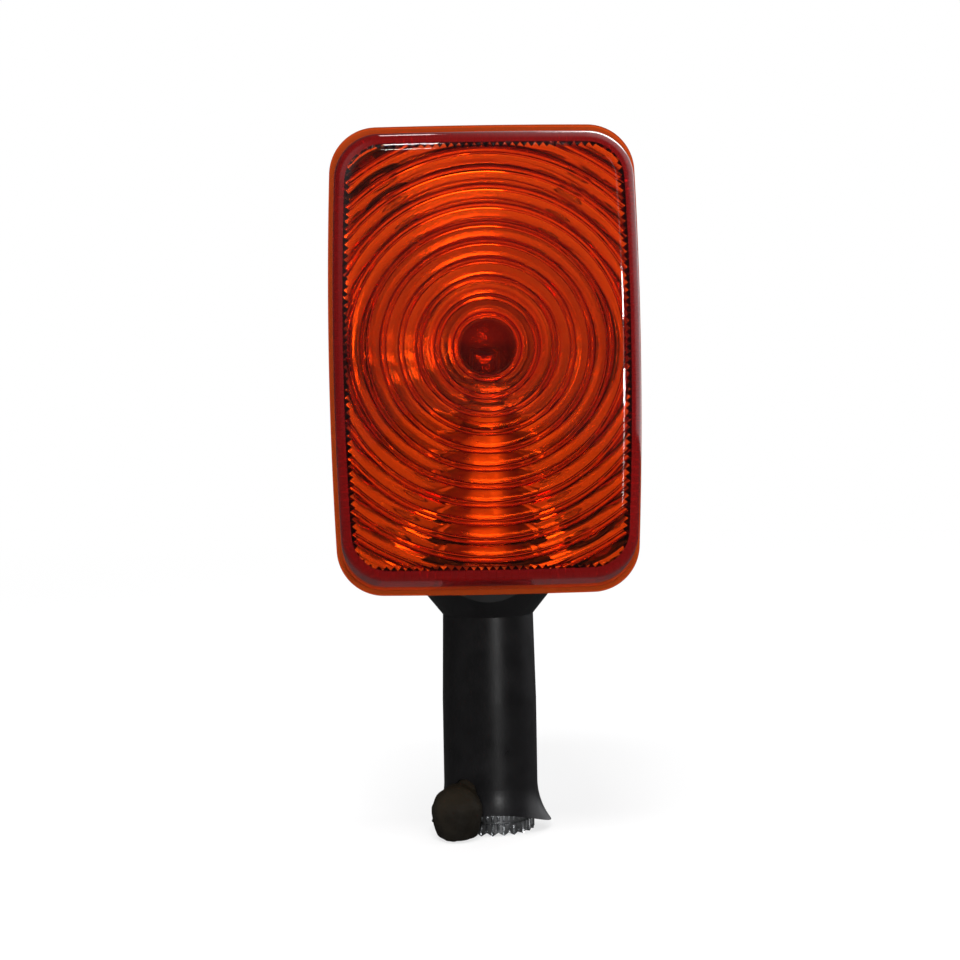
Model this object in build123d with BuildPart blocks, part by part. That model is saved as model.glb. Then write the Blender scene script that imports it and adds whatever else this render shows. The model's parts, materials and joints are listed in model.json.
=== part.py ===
"""Turn signal light for a bicycle: a rectangular amber lens on a black stem.

Millimetres. +Z runs up the stem, the lens faces -Y and +X is to the right of someone
who looks at the lens. The origin is on the stem's axis, in the plane where the serrated
steel ring under the foot meets whatever carries the light.
"""
import os
from math import cos, pi, radians, sin, sqrt, tan

from build123d import *

os.makedirs("parts", exist_ok=True)

# Mounting ring and threaded insert in the foot of the stem
seat_ring_height = 4.5
seat_ring_radius = 8.7
seat_tooth_count = 24
seat_tooth_depth = 0.7
thread_radius = 3.4
insert_radius = 5.3
insert_height = 2.8
insert_groove_depth = 0.6
insert_groove_height = 1.0
seat_land_width = 1.2

# Stem: a foot with a spigot, and an upper tube that is pushed over it
stem_length = 44.1
foot_height = 21.8
foot_flare_radius = 12.1
foot_flare_height = 7.8
foot_flare_middle_height = 3.0
foot_flare_middle_reach = 1.0
foot_skirt_drop = 3.1
foot_waist_radius = 9.45
stem_neck_radius = 9.1
head_flare_radius = 13.3
head_flare_height = 5.2
head_flare_front = 11.8
wire_bore_radius = 4.4
chamber_floor_thickness = 4.0
foot_spigot_radius = 6.5
foot_spigot_length = 8.8
stem_thread_radius = 6.0
stem_thread_flat = 5.0
locknut_width = 17.0
locknut_height = 3.2
stem_washer_radius = 9.6
stem_washer_height = 0.8
spigot_stand_out = 0.4
stem_seat_thickness = 2.4
locknut_well_radius = 10.2

# Outlet for the leads and its rubber boot, on the left of the foot's front
outlet_start_height = 10.2
outlet_drop = 8.5
outlet_reach = 12.2
outlet_azimuth = 34.6
outlet_radius = 2.15
boot_neck_radius = 2.6
boot_neck_start = 9.2
boot_radius = 5.0
boot_bottom_z = 0.2
boot_height = 11.2
boot_mouth_rounding = 1.6
boot_top_rounding = 3.2
boot_bore_radius = 2.0
lead_radius = 0.8
lead_spacing = 1.9
lead_end_setback = 1.0
feed_lead_y = 2.4
earth_lead_x = 3.2
lead_bend_height = 32.0

# Head: lens in front, housing behind, a gasket between their rims
head_width = 60.0
head_height = 90.0
side_bow = 1.2
end_bow = 0.3
rim_corner_radius = 8.5
rim_bead_width = 0.6
rim_bead_height = 2.0
parting_y = -12.0
gasket_height = 1.2
gasket_inset = 0.2
gasket_lug_radius = 3.3
lens_depth = 22.8
lens_side_draft = 1.75
lens_end_draft = 4.3
lens_front_fillet = 3.8
lens_wall = 2.2
lens_front_wall = 4.0
flute_pitch = 1.6
flute_depth = 0.7
housing_depth = 26.0
housing_side_draft = 5.9
housing_end_draft = 5.0
housing_back_corner = 11.0
housing_back_fillet = 7.5
housing_wall = 2.2
drain_radius = 1.5
drain_x = -16.0

# Ring optics inside the lens's front wall
optic_rise = 1.9
centre_disc_radius = 5.1
ring_pitch = 3.27
ring_count = 12
ring_rise_width = 0.45
ring_crest_width = 0.6
ring_height = 1.1
ring_root = 0.3
ring_margin = 0.5

# Lens screws, from behind, in two opposite corners
lens_boss_radius = 3.2
lens_boss_length = 9.3
lens_boss_sink = 0.8
lens_boss_floor = 1.3
lens_screw_radius = 1.75
lens_screw_length = 15.8
lens_screw_head_radius = 3.2
lens_screw_head_height = 2.2
pillar_radius = 4.0
pocket_floor_y = -5.5
pocket_floor_thickness = 2.5
pocket_radius = 4.3
pocket_wall = 1.3
screw_washer_radius = 3.7
screw_washer_height = 0.8

# Proportions of every slotted screw: shares of its head's height, shank's radius and head's radius
screw_head_chamfer = 0.4
screw_tip_taper = 0.5
screw_slot_depth_share = 0.5
screw_slot_width_share = 0.28

# Reflector: a plated tray with a dish behind the bulb
reflector_wall = 1.2
reflector_side_draft = 3.6
reflector_end_draft = 3.6
reflector_corner_radius = 6.0
dish_radius = 21.0
dish_depth = 5.0
notch_half_width = 12.5
notch_top_margin = 1.2
notch_corner_radius = 3.0
small_screw_radius = 1.4
small_screw_length = 7.5
small_screw_head_radius = 2.7
small_screw_head_height = 1.7
boss_radius = 3.4
reflector_screw_x = 15.0
reflector_screw_rise = 29.0

# Bayonet bulb: its pins are the reference plane for its other heights
bulb_y = -10.0
light_centre_length = 19.0
pin_to_contact = 9.0
pin_radius = 1.0
pin_circle_radius = 8.55
cap_radius = 7.5
cap_wall = 0.5
cap_bottom = 6.2
cap_top = 7.3
globe_radius = 9.25
glass_neck_radius = 6.9
glass_wall = 0.8
glass_neck_depth = 3.7
contact_radius = 2.2
insulator_nose_radius = 4.6
insulator_nose_height = 1.8
contact_stand_out = 1.0
contact_dome = 0.5
pinch_width = 7.0
pinch_thickness = 2.4
pinch_height = 6.0
support_spacing = 5.2
support_radius = 0.3
filament_radius = 0.4
filament_sag = 0.6

# Bulb holder: bayonet shell, sprung contact and the bracket that carries it
holder_wall = 0.6
holder_mouth_height = 5.4
holder_lip = 0.5
holder_floor = 0.7
holder_vent_radius = 3.0
bayonet_turn = 32.0
bayonet_press = 1.5
plunger_head_radius = 2.6
plunger_head_height = 0.8
plunger_shank_radius = 1.5
plunger_flange_radius = 4.0
plunger_flange_height = 1.0
carrier_height = 2.6
spring_height = 4.4
spring_radius = 3.1
spring_wire_radius = 0.35
spring_turns = 3.0
spring_check_points = 60
terminal_thickness = 0.6
terminal_radius = 4.2
terminal_tab_width = 2.6
terminal_tab_reach = 3.4
disc_thickness = 1.0
disc_tongue_width = 3.4
bracket_thickness = 0.8
bracket_width = 36.0
bracket_plate_height = 10.8
bracket_drop = 2.0
bracket_screw_x = 14.5
band_wrap = 3.5
earth_tab_width = 2.0
earth_tab_drop = 3.4
rivet_radius = 0.8
rivet_head_radius = 1.2
rivet_head_height = 0.5
rivet_rise = 1.6
edge_break = 0.3

# Clearances
thread_clearance = 0.05
slip_clearance = 0.3
moulding_clearance = 0.5
push_fit_clearance = 0.05
bayonet_clearance = 0.45
cap_clearance = 0.25

# Heights that follow from the sizes above
foot_z = seat_ring_height
foot_joint_z = foot_z + foot_height
head_bottom_z = foot_z + stem_length
head_centre_z = head_bottom_z + head_height / 2
optic_z = head_centre_z + optic_rise
pin_z = optic_z - light_centre_length
contact_z = pin_z - pin_to_contact
carrier_top_z = contact_z - plunger_head_height
carrier_bottom_z = carrier_top_z - carrier_height
flange_bottom_z = carrier_bottom_z - plunger_flange_height
terminal_top_z = flange_bottom_z - spring_height
disc_top_z = terminal_top_z - terminal_thickness
holder_floor_top_z = disc_top_z - disc_thickness
holder_bottom_z = holder_floor_top_z - holder_floor
holder_top_z = pin_z + holder_mouth_height
holder_inner_radius = cap_radius + cap_clearance
holder_outer_radius = holder_inner_radius + holder_wall
stem_seat_z = head_bottom_z + stem_seat_thickness
washer_top_z = stem_seat_z + stem_washer_height
locknut_top_z = washer_top_z + locknut_height
stem_top_z = locknut_top_z + spigot_stand_out

# Depths that follow from the sizes above
lens_rim_y = parting_y - gasket_height
lens_front_y = lens_rim_y - lens_depth
optic_face_y = lens_front_y + lens_wall
housing_back_y = parting_y + housing_depth
housing_floor_y = housing_back_y - housing_wall
band_radius = holder_outer_radius + push_fit_clearance
plate_front_y = bulb_y + band_radius + bracket_thickness / 2
reflector_floor_y = plate_front_y + bracket_thickness
reflector_back_y = reflector_floor_y + reflector_wall

# Outlines of the moulded pieces at their rims, as width and height
lens_rim_size = (head_width - 2 * rim_bead_width, head_height - 2 * rim_bead_width)
lens_front_size = (lens_rim_size[0] - 2 * lens_side_draft, lens_rim_size[1] - 2 * lens_end_draft)
housing_back_size = (
    lens_rim_size[0] - 2 * housing_side_draft,
    lens_rim_size[1] - 2 * housing_end_draft,
)
boss_corner_radius = rim_corner_radius - lens_wall
boss_offset = (boss_corner_radius - lens_boss_radius + lens_boss_sink) / sqrt(2)
lens_screw_x = lens_rim_size[0] / 2 - side_bow - lens_wall - boss_corner_radius + boss_offset
lens_screw_rise = lens_rim_size[1] / 2 - end_bow - lens_wall - boss_corner_radius + boss_offset
lens_screw_places = {
    "upper": (-lens_screw_x, head_centre_z + lens_screw_rise),
    "lower": (lens_screw_x, head_centre_z - lens_screw_rise),
}
bracket_bottom_z = flange_bottom_z - bracket_drop
bracket_screw_z = bracket_bottom_z + bracket_plate_height / 2
reflector_screw_places = [
    (-reflector_screw_x, head_centre_z + reflector_screw_rise),
    (reflector_screw_x, head_centre_z + reflector_screw_rise),
]
bracket_screw_places = [(-bracket_screw_x, bracket_screw_z), (bracket_screw_x, bracket_screw_z)]


def facing_front(y, x=0.0, z=head_centre_z):
    """A plane across the head at depth y: its own x is +X, its y is +Z, its normal is -Y."""
    return Plane(origin=(x, y, z), x_dir=(1, 0, 0), z_dir=(0, -1, 0))


def facing_back(y, x, z):
    """The same place seen from behind: the normal is +Y."""
    return Plane(origin=(x, y, z), x_dir=(-1, 0, 0), z_dir=(0, 1, 0))


def inset(size, distance):
    """The width and height of an outline moved inwards all round."""
    return size[0] - 2 * distance, size[1] - 2 * distance


def between(start, end, share):
    """The width and height part of the way from one outline to another."""
    return tuple(a + (b - a) * share for a, b in zip(start, end))


def head_outline(size, corner_radius):
    """A rounded rectangle whose four sides bow gently outwards."""
    half_width = size[0] / 2
    half_height = size[1] / 2
    corner_x = half_width - side_bow
    corner_y = half_height - end_bow
    with BuildSketch() as outline:
        with BuildLine():
            ThreePointArc((-corner_x, -corner_y), (0, -half_height), (corner_x, -corner_y))
            ThreePointArc((corner_x, -corner_y), (half_width, 0), (corner_x, corner_y))
            ThreePointArc((corner_x, corner_y), (0, half_height), (-corner_x, corner_y))
            ThreePointArc((-corner_x, corner_y), (-half_width, 0), (-corner_x, -corner_y))
        make_face()
        fillet(outline.vertices(), corner_radius)
    return outline.sketch


def fluted_outline(size, corner_radius, flute_count):
    """The same outline as a closed row of V flutes that point outwards."""
    edge = head_outline(size, corner_radius).face().outer_wire()
    points = []
    for step in range(2 * flute_count):
        share = step / (2 * flute_count)
        place = edge.position_at(share)
        along = edge.tangent_at(share)
        outwards = Vector(along.Y, -along.X)
        if outwards.dot(place) < 0:
            outwards = -outwards
        points.append(place + outwards * (flute_depth * (step % 2)))
    with BuildSketch() as outline:
        with BuildLine():
            Polyline(*points, close=True)
        make_face()
    return outline.sketch


def drafted_block(rear_y, rear_outline, front_y, front_outline):
    """A ruled block between two outlines that lie across the head."""
    with BuildPart() as block:
        with BuildSketch(facing_front(rear_y)):
            add(rear_outline)
        with BuildSketch(facing_front(front_y)):
            add(front_outline)
        loft(ruled=True)
    return block.part


def rim_edges(solid, y):
    """The edges of a solid that lie in the plane across the head at depth y."""
    return solid.edges().filter_by_position(Axis.Y, y - 0.001, y + 0.001)


def pan_head_screw(seat, shank_radius, shank_length, head_radius, head_height):
    """A slotted pan-head screw that points against the plane's normal, its thread plain."""
    with BuildPart() as screw:
        with BuildSketch(seat):
            Circle(head_radius)
        extrude(amount=head_height)
        head_top_y = seat.offset(head_height).origin.Y
        chamfer(rim_edges(screw, head_top_y), head_height * screw_head_chamfer)
        with BuildSketch(seat):
            Circle(shank_radius)
        extrude(amount=-shank_length)
        tip_y = seat.offset(-shank_length).origin.Y
        chamfer(rim_edges(screw, tip_y), shank_radius * screw_tip_taper)
        with BuildSketch(seat.offset(head_height)):
            Rectangle(2 * head_radius, head_radius * screw_slot_width_share)
        extrude(amount=-head_height * screw_slot_depth_share, mode=Mode.SUBTRACT)
    return screw.part


bulb_axis = Axis((0, bulb_y, 0), (0, 0, 1))
bulb_section = Plane.XZ.offset(-bulb_y)
optic_axis = Axis((0, 0, optic_z), (0, 1, 0))
optic_section = Plane(origin=(0, 0, optic_z), x_dir=(1, 0, 0), z_dir=(0, 0, 1))

# Foot of the stem: its flare, the spigot for the upper tube and the outlet for the leads
outlet_heading = radians(outlet_azimuth)
outlet_plan = Vector(-sin(outlet_heading), -cos(outlet_heading))
outlet_start = Vector(0, 0, foot_z + outlet_start_height)
outlet_elbow = outlet_start + outlet_plan * outlet_reach - Vector(0, 0, outlet_drop)
outlet_direction = (outlet_elbow - outlet_start).normalized()
outlet_length = (outlet_elbow - outlet_start).length
boot_centre = (outlet_elbow.X, outlet_elbow.Y)
outlet_side = Vector(cos(outlet_heading), -sin(outlet_heading))
outlet_plane = Plane(origin=outlet_start, x_dir=outlet_side, z_dir=outlet_direction)
foot_top_z = foot_joint_z + foot_spigot_length
chamber_floor_z = foot_z + insert_height + chamber_floor_thickness

skirt_z = foot_z - foot_skirt_drop
flare_top_z = skirt_z + foot_flare_height
arch_radius = (foot_flare_radius**2 + foot_skirt_drop**2) / (2 * foot_skirt_drop)
with BuildPart() as foot_envelope:
    with BuildSketch(Plane.XZ):
        with BuildLine():
            Polyline(
                (foot_waist_radius, flare_top_z),
                (foot_waist_radius, foot_joint_z),
                (foot_spigot_radius, foot_joint_z),
                (foot_spigot_radius, foot_top_z),
                (0, foot_top_z),
                (0, skirt_z),
                (foot_flare_radius, skirt_z),
            )
            ThreePointArc(
                (foot_flare_radius, skirt_z),
                (foot_waist_radius + foot_flare_middle_reach, skirt_z + foot_flare_middle_height),
                (foot_waist_radius, flare_top_z),
            )
        make_face()
    revolve(axis=Axis.Z)
    with BuildSketch(Plane.XZ):
        with Locations((0, foot_z - arch_radius)):
            Circle(arch_radius)
    extrude(amount=2 * foot_flare_radius, both=True, mode=Mode.SUBTRACT)
    with BuildSketch(Plane.XY.offset(foot_z)):
        Circle(seat_ring_radius + slip_clearance)
    extrude(amount=-foot_skirt_drop, mode=Mode.SUBTRACT)

with BuildPart() as stem_foot:
    add(foot_envelope.part)
    with BuildSketch(Plane.XY.offset(chamber_floor_z)):
        Circle(wire_bore_radius)
    extrude(amount=foot_top_z - chamber_floor_z, mode=Mode.SUBTRACT)
    with BuildSketch(Plane.XY.offset(foot_z)):
        Circle(insert_radius + push_fit_clearance)
    extrude(amount=insert_height, mode=Mode.SUBTRACT)
    with BuildSketch(outlet_plane):
        Circle(outlet_radius)
    extrude(amount=outlet_length, mode=Mode.SUBTRACT)
    with BuildSketch(outlet_plane.offset(boot_neck_start)):
        Circle(boot_neck_radius + push_fit_clearance)
    extrude(amount=outlet_length - boot_neck_start, mode=Mode.SUBTRACT)
    with BuildSketch(Plane.XY.offset(boot_bottom_z)):
        with Locations(boot_centre):
            Circle(boot_bore_radius)
    extrude(amount=outlet_elbow.Z + lead_radius - boot_bottom_z, mode=Mode.SUBTRACT)
stem_foot.part.label = "stem_foot"
export_step(stem_foot.part, "parts/stem_foot.step")

# Steel insert: a blind-threaded barrel with a groove, and a ring serrated on its underside
groove_z = seat_ring_height + (insert_height - insert_groove_height) / 2
tooth_half_width = pi * seat_ring_radius / seat_tooth_count / 2
with BuildPart() as threaded_insert:
    with BuildSketch(Plane.XZ):
        with BuildLine():
            Polyline(
                (0, 0),
                (seat_ring_radius, 0),
                (seat_ring_radius, seat_ring_height),
                (insert_radius, seat_ring_height),
                (insert_radius, groove_z),
                (insert_radius - insert_groove_depth, groove_z),
                (insert_radius - insert_groove_depth, groove_z + insert_groove_height),
                (insert_radius, groove_z + insert_groove_height),
                (insert_radius, seat_ring_height + insert_height),
                (0, seat_ring_height + insert_height),
                close=True,
            )
        make_face()
    revolve(axis=Axis.Z)
    with BuildSketch(Plane.XY):
        Circle(thread_radius)
    extrude(amount=seat_ring_height + insert_height, mode=Mode.SUBTRACT)
    with BuildSketch(Plane.YZ.offset(thread_radius + seat_land_width)):
        with BuildLine():
            Polyline(
                (-tooth_half_width, 0),
                (0, seat_tooth_depth),
                (tooth_half_width, 0),
                (0, -seat_tooth_depth),
                close=True,
            )
        make_face()
    tooth_gap = extrude(amount=seat_ring_radius, mode=Mode.PRIVATE)
    with PolarLocations(0, seat_tooth_count):
        add(tooth_gap, mode=Mode.SUBTRACT)
threaded_insert.part.label = "threaded_insert"
export_step(threaded_insert.part, "parts/threaded_insert.step")

# Upper tube of the stem, with the flare under the head and the threaded spigot inside it
flare_start_z = head_bottom_z - head_flare_height
with BuildSketch() as flare_front:
    with Locations((0, -head_flare_front - head_flare_radius / 2)):
        Rectangle(2 * head_flare_radius, head_flare_radius)
flare_front_cut = flare_front.sketch
with BuildPart() as stem_upper:
    with BuildSketch(Plane.XZ):
        with BuildLine():
            Polyline(
                (0, foot_joint_z),
                (foot_waist_radius, foot_joint_z),
                (stem_neck_radius, flare_start_z),
                (head_flare_radius, head_bottom_z),
                (stem_thread_radius, head_bottom_z),
                (stem_thread_radius, stem_top_z),
                (0, stem_top_z),
                close=True,
            )
        make_face()
    revolve(axis=Axis.Z)
    with BuildSketch(Plane.XY.offset(flare_start_z)):
        add(flare_front_cut)
    extrude(amount=head_flare_height, mode=Mode.SUBTRACT)
    with BuildSketch(Plane.XY.offset(foot_joint_z)):
        Circle(wire_bore_radius)
    extrude(amount=stem_top_z - foot_joint_z, mode=Mode.SUBTRACT)
    with BuildSketch(Plane.XY.offset(foot_joint_z)):
        Circle(foot_spigot_radius + push_fit_clearance)
    extrude(amount=foot_spigot_length + slip_clearance, mode=Mode.SUBTRACT)
    with BuildSketch(Plane.XY.offset(head_bottom_z)):
        with Locations((0, -stem_thread_flat - stem_thread_radius / 2)):
            Rectangle(stem_thread_radius * 2, stem_thread_radius)
    extrude(amount=stem_top_z - head_bottom_z, mode=Mode.SUBTRACT)
stem_upper.part.label = "stem_upper"
export_step(stem_upper.part, "parts/stem_upper.step")

# Washer and locknut that clamp the stem to the head
with BuildPart() as stem_washer:
    with BuildSketch(Plane.XY.offset(stem_seat_z)):
        Circle(stem_washer_radius)
        Circle(stem_thread_radius + slip_clearance, mode=Mode.SUBTRACT)
    extrude(amount=stem_washer_height)
stem_washer.part.label = "stem_washer"
export_step(stem_washer.part, "parts/stem_washer.step")

with BuildPart() as stem_locknut:
    with BuildSketch(Plane.XY.offset(washer_top_z)):
        RegularPolygon(locknut_width / 2, 6, major_radius=False)
    extrude(amount=locknut_height)
    with BuildSketch(Plane.XY.offset(washer_top_z)):
        Circle(stem_thread_radius + thread_clearance)
    extrude(amount=locknut_height, mode=Mode.SUBTRACT)
stem_locknut.part.label = "stem_locknut"
export_step(stem_locknut.part, "parts/stem_locknut.step")

# Rubber boot, an elbow: its neck sits in the foot's outlet and its body hugs the foot's side
with BuildPart() as boot_body:
    with BuildSketch(Plane.XY.offset(boot_bottom_z)):
        with Locations(boot_centre):
            Circle(boot_radius)
    extrude(amount=boot_height)
    fillet(boot_body.edges().sort_by(Axis.Z)[-1], boot_top_rounding)
    fillet(boot_body.edges().sort_by(Axis.Z)[0], boot_mouth_rounding)
    add(foot_envelope.part, mode=Mode.SUBTRACT)
    with BuildSketch(Plane.XY.offset(foot_z)):
        Circle(seat_ring_radius + slip_clearance)
    extrude(amount=-foot_z, mode=Mode.SUBTRACT)

with BuildPart() as wire_boot:
    add(boot_body.part)
    with BuildSketch(outlet_plane.offset(boot_neck_start)):
        Circle(boot_neck_radius)
    extrude(amount=outlet_length - boot_neck_start)
    with BuildSketch(outlet_plane.offset(boot_neck_start)):
        Circle(boot_bore_radius)
    extrude(amount=outlet_length - boot_neck_start, mode=Mode.SUBTRACT)
    with BuildSketch(Plane.XY.offset(boot_bottom_z)):
        with Locations(boot_centre):
            Circle(boot_bore_radius)
    extrude(amount=outlet_elbow.Z + lead_radius - boot_bottom_z, mode=Mode.SUBTRACT)
wire_boot.part.label = "wire_boot"
export_step(wire_boot.part, "parts/wire_boot.step")


def boot_lane(distance, side):
    """A point on one of the two lanes that the leads follow through the outlet."""
    return outlet_start + outlet_direction * distance + outlet_side * (side * lead_spacing / 2)


def lead(top, side):
    """An insulated lead from its soldered top down the stem and out through the boot."""
    elbow = boot_lane(outlet_length, side)
    route = [
        Vector(*top),
        Vector(top[0], top[1], lead_bend_height),
        boot_lane(0, side),
        elbow,
        Vector(elbow.X, elbow.Y, boot_bottom_z + lead_end_setback),
    ]
    bend_radii = []
    for before, corner, after in zip(route, route[1:], route[2:]):
        shorter_run = min((corner - before).length, (after - corner).length)
        turn = (corner - before).get_angle(after - corner)
        bend_radii.append(0.45 * shorter_run / tan(radians(turn) / 2))
    print("lead bend radii", [round(radius, 1) for radius in bend_radii])
    with BuildPart() as wire:
        with BuildLine() as path:
            FilletPolyline(*route, radius=bend_radii)
        with BuildSketch(Plane(origin=route[0], z_dir=route[1] - route[0])):
            Circle(lead_radius)
        sweep(path=path.line)
    length = path.wires()[0].length
    print("lead length", round(length, 1))
    print("volume over section times length", wire.part.volume / (pi * lead_radius**2 * length))
    return wire.part


feed_lead = lead((0, feed_lead_y, disc_top_z), -1)
feed_lead.label = "feed_lead"
export_step(feed_lead, "parts/feed_lead.step")
earth_tab_end = (
    earth_lead_x,
    plate_front_y + bracket_thickness / 2,
    bracket_bottom_z - earth_tab_drop,
)
earth_lead = lead(earth_tab_end, 1)
earth_lead.label = "earth_lead"
export_step(earth_lead, "parts/earth_lead.step")

# Rear housing: a drafted shell with a rim flange, pillars, pockets and the pad for the stem
rim_outline = head_outline(lens_rim_size, rim_corner_radius)
bead_outline = head_outline((head_width, head_height), rim_corner_radius + rim_bead_width)
rim_opening = head_outline(inset(lens_rim_size, housing_wall), rim_corner_radius - housing_wall)
floor_share = (housing_floor_y - parting_y) / housing_depth
floor_size = between(lens_rim_size, housing_back_size, floor_share)
housing_block = drafted_block(
    parting_y,
    rim_outline,
    housing_back_y,
    head_outline(housing_back_size, housing_back_corner),
)
housing_space = drafted_block(
    parting_y,
    rim_opening,
    housing_floor_y,
    head_outline(inset(floor_size, housing_wall), housing_back_corner - housing_wall),
)
with BuildPart() as housing_cavity:
    add(housing_space)
    for screw_x, screw_z in lens_screw_places.values():
        with BuildSketch(facing_front(housing_back_y, screw_x, screw_z)):
            Circle(pillar_radius)
        extrude(amount=housing_depth, mode=Mode.SUBTRACT)
        with BuildSketch(facing_front(housing_back_y, screw_x, screw_z)):
            Circle(pocket_radius + pocket_wall)
        extrude(
            amount=housing_back_y - pocket_floor_y + pocket_floor_thickness,
            mode=Mode.SUBTRACT,
        )
    for screw_x, screw_z in reflector_screw_places + bracket_screw_places:
        with BuildSketch(facing_front(housing_back_y, screw_x, screw_z)):
            Circle(boss_radius)
        extrude(amount=housing_back_y - reflector_back_y, mode=Mode.SUBTRACT)

with BuildPart() as rear_housing:
    add(housing_block)
    fillet(rim_edges(rear_housing, housing_back_y), housing_back_fillet)
    with BuildSketch(facing_front(parting_y)):
        add(bead_outline)
    extrude(amount=-rim_bead_height)
    with BuildSketch(Plane.XY.offset(head_bottom_z)):
        Circle(head_flare_radius)
        add(flare_front_cut, mode=Mode.SUBTRACT)
    extrude(amount=housing_end_draft + housing_wall)
    add(housing_cavity.part, mode=Mode.SUBTRACT)
    with BuildSketch(Plane.XY.offset(stem_seat_z)):
        Circle(locknut_well_radius)
    extrude(amount=locknut_top_z - stem_seat_z, mode=Mode.SUBTRACT)
    with BuildSketch(Plane.XY.offset(head_bottom_z)):
        Circle(stem_thread_radius + slip_clearance)
        with Locations((0, -stem_thread_flat - slip_clearance - stem_thread_radius / 2)):
            Rectangle(
                2 * (stem_thread_radius + slip_clearance),
                stem_thread_radius,
                mode=Mode.SUBTRACT,
            )
    extrude(amount=stem_seat_z - head_bottom_z, mode=Mode.SUBTRACT)
    for screw_x, screw_z in lens_screw_places.values():
        with BuildSketch(facing_front(housing_back_y, screw_x, screw_z)):
            Circle(lens_screw_radius + slip_clearance)
        extrude(amount=housing_depth, mode=Mode.SUBTRACT)
        with BuildSketch(facing_front(housing_back_y, screw_x, screw_z)):
            Circle(pocket_radius)
        extrude(amount=housing_back_y - pocket_floor_y, mode=Mode.SUBTRACT)
    for screw_x, screw_z in reflector_screw_places + bracket_screw_places:
        with BuildSketch(facing_front(reflector_back_y, screw_x, screw_z)):
            Circle(small_screw_radius + thread_clearance)
        extrude(amount=-small_screw_length, mode=Mode.SUBTRACT)
    with BuildSketch(Plane.XY.offset(head_bottom_z)):
        with Locations((drain_x, parting_y / 2)):
            Circle(drain_radius)
    extrude(amount=housing_wall + housing_end_draft, mode=Mode.SUBTRACT)
rear_housing.part.label = "rear_housing"
export_step(rear_housing.part, "parts/rear_housing.step")

# Gasket between the rims, with an eyelet at each lens screw
gasket_outline = head_outline(
    inset(lens_rim_size, gasket_inset),
    rim_corner_radius - gasket_inset,
)
with BuildPart() as lens_gasket:
    with BuildSketch(facing_front(parting_y)):
        add(gasket_outline)
        add(rim_opening, mode=Mode.SUBTRACT)
        for screw_x, screw_z in lens_screw_places.values():
            with Locations((screw_x, screw_z - head_centre_z)):
                Circle(gasket_lug_radius)
        for screw_x, screw_z in lens_screw_places.values():
            with Locations((screw_x, screw_z - head_centre_z)):
                Circle(lens_screw_radius + slip_clearance, mode=Mode.SUBTRACT)
    extrude(amount=gasket_height)
lens_gasket.part.label = "lens_gasket"
export_step(lens_gasket.part, "parts/lens_gasket.step")

# Lens: a drafted cap, fluted inside its walls and ringed inside its face
cavity_share = (lens_rim_y - optic_face_y) / lens_depth
cavity_front_size = inset(between(lens_rim_size, lens_front_size, cavity_share), lens_front_wall)
cavity_rim_size = inset(lens_rim_size, lens_wall)
cavity_corner_radius = rim_corner_radius - lens_wall
flute_count = round(2 * (cavity_rim_size[0] + cavity_rim_size[1]) / flute_pitch)
lens_space = drafted_block(
    lens_rim_y,
    fluted_outline(cavity_rim_size, cavity_corner_radius, flute_count),
    optic_face_y,
    fluted_outline(cavity_front_size, cavity_corner_radius, flute_count),
)
with BuildPart() as lens_cavity:
    add(lens_space)
    for screw_x, screw_z in lens_screw_places.values():
        with BuildSketch(facing_front(lens_rim_y, screw_x, screw_z)):
            Circle(lens_boss_radius)
        extrude(amount=lens_boss_length, mode=Mode.SUBTRACT)

optic_outline = head_outline(inset(cavity_front_size, ring_margin), cavity_corner_radius)
with BuildPart() as optic_rings:
    with BuildSketch(optic_section):
        for ring in range(ring_count):
            rise = centre_disc_radius + ring * ring_pitch
            crest = rise + ring_rise_width
            fall = crest + ring_crest_width
            with BuildLine():
                Polyline(
                    (rise, optic_face_y - ring_root),
                    (rise, optic_face_y),
                    (crest, optic_face_y + ring_height),
                    (fall, optic_face_y + ring_height),
                    (rise + ring_pitch, optic_face_y),
                    (rise + ring_pitch, optic_face_y - ring_root),
                    close=True,
                )
            make_face()
    revolve(axis=optic_axis)
    with BuildSketch(facing_front(optic_face_y + ring_height)):
        add(optic_outline)
    extrude(amount=ring_height + ring_root, mode=Mode.INTERSECT)

lens_block = drafted_block(
    lens_rim_y,
    rim_outline,
    lens_front_y,
    head_outline(lens_front_size, rim_corner_radius),
)
with BuildPart() as lens:
    add(lens_block)
    fillet(rim_edges(lens, lens_front_y), lens_front_fillet)
    with BuildSketch(facing_front(lens_rim_y)):
        add(bead_outline)
    extrude(amount=rim_bead_height)
    add(lens_cavity.part, mode=Mode.SUBTRACT)
    add(optic_rings.part)
    for screw_x, screw_z in lens_screw_places.values():
        with BuildSketch(facing_front(lens_rim_y, screw_x, screw_z)):
            Circle(lens_screw_radius + thread_clearance)
        extrude(amount=lens_boss_length - lens_boss_floor, mode=Mode.SUBTRACT)
lens.part.label = "lens"
export_step(lens.part, "parts/lens.step")

# Lens screws and their washers, one pair in each pocket of the housing
for place, (screw_x, screw_z) in lens_screw_places.items():
    with BuildPart() as screw_washer:
        with BuildSketch(facing_back(pocket_floor_y, screw_x, screw_z)):
            Circle(screw_washer_radius)
            Circle(lens_screw_radius + push_fit_clearance, mode=Mode.SUBTRACT)
        extrude(amount=screw_washer_height)
    screw_washer.part.label = "screw_washer_" + place
    export_step(screw_washer.part, "parts/screw_washer_" + place + ".step")
    lens_screw = pan_head_screw(
        facing_back(pocket_floor_y + screw_washer_height, screw_x, screw_z),
        lens_screw_radius,
        lens_screw_length,
        lens_screw_head_radius,
        lens_screw_head_height,
    )
    lens_screw.label = "lens_screw_" + place
    export_step(lens_screw, "parts/lens_screw_" + place + ".step")

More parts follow.
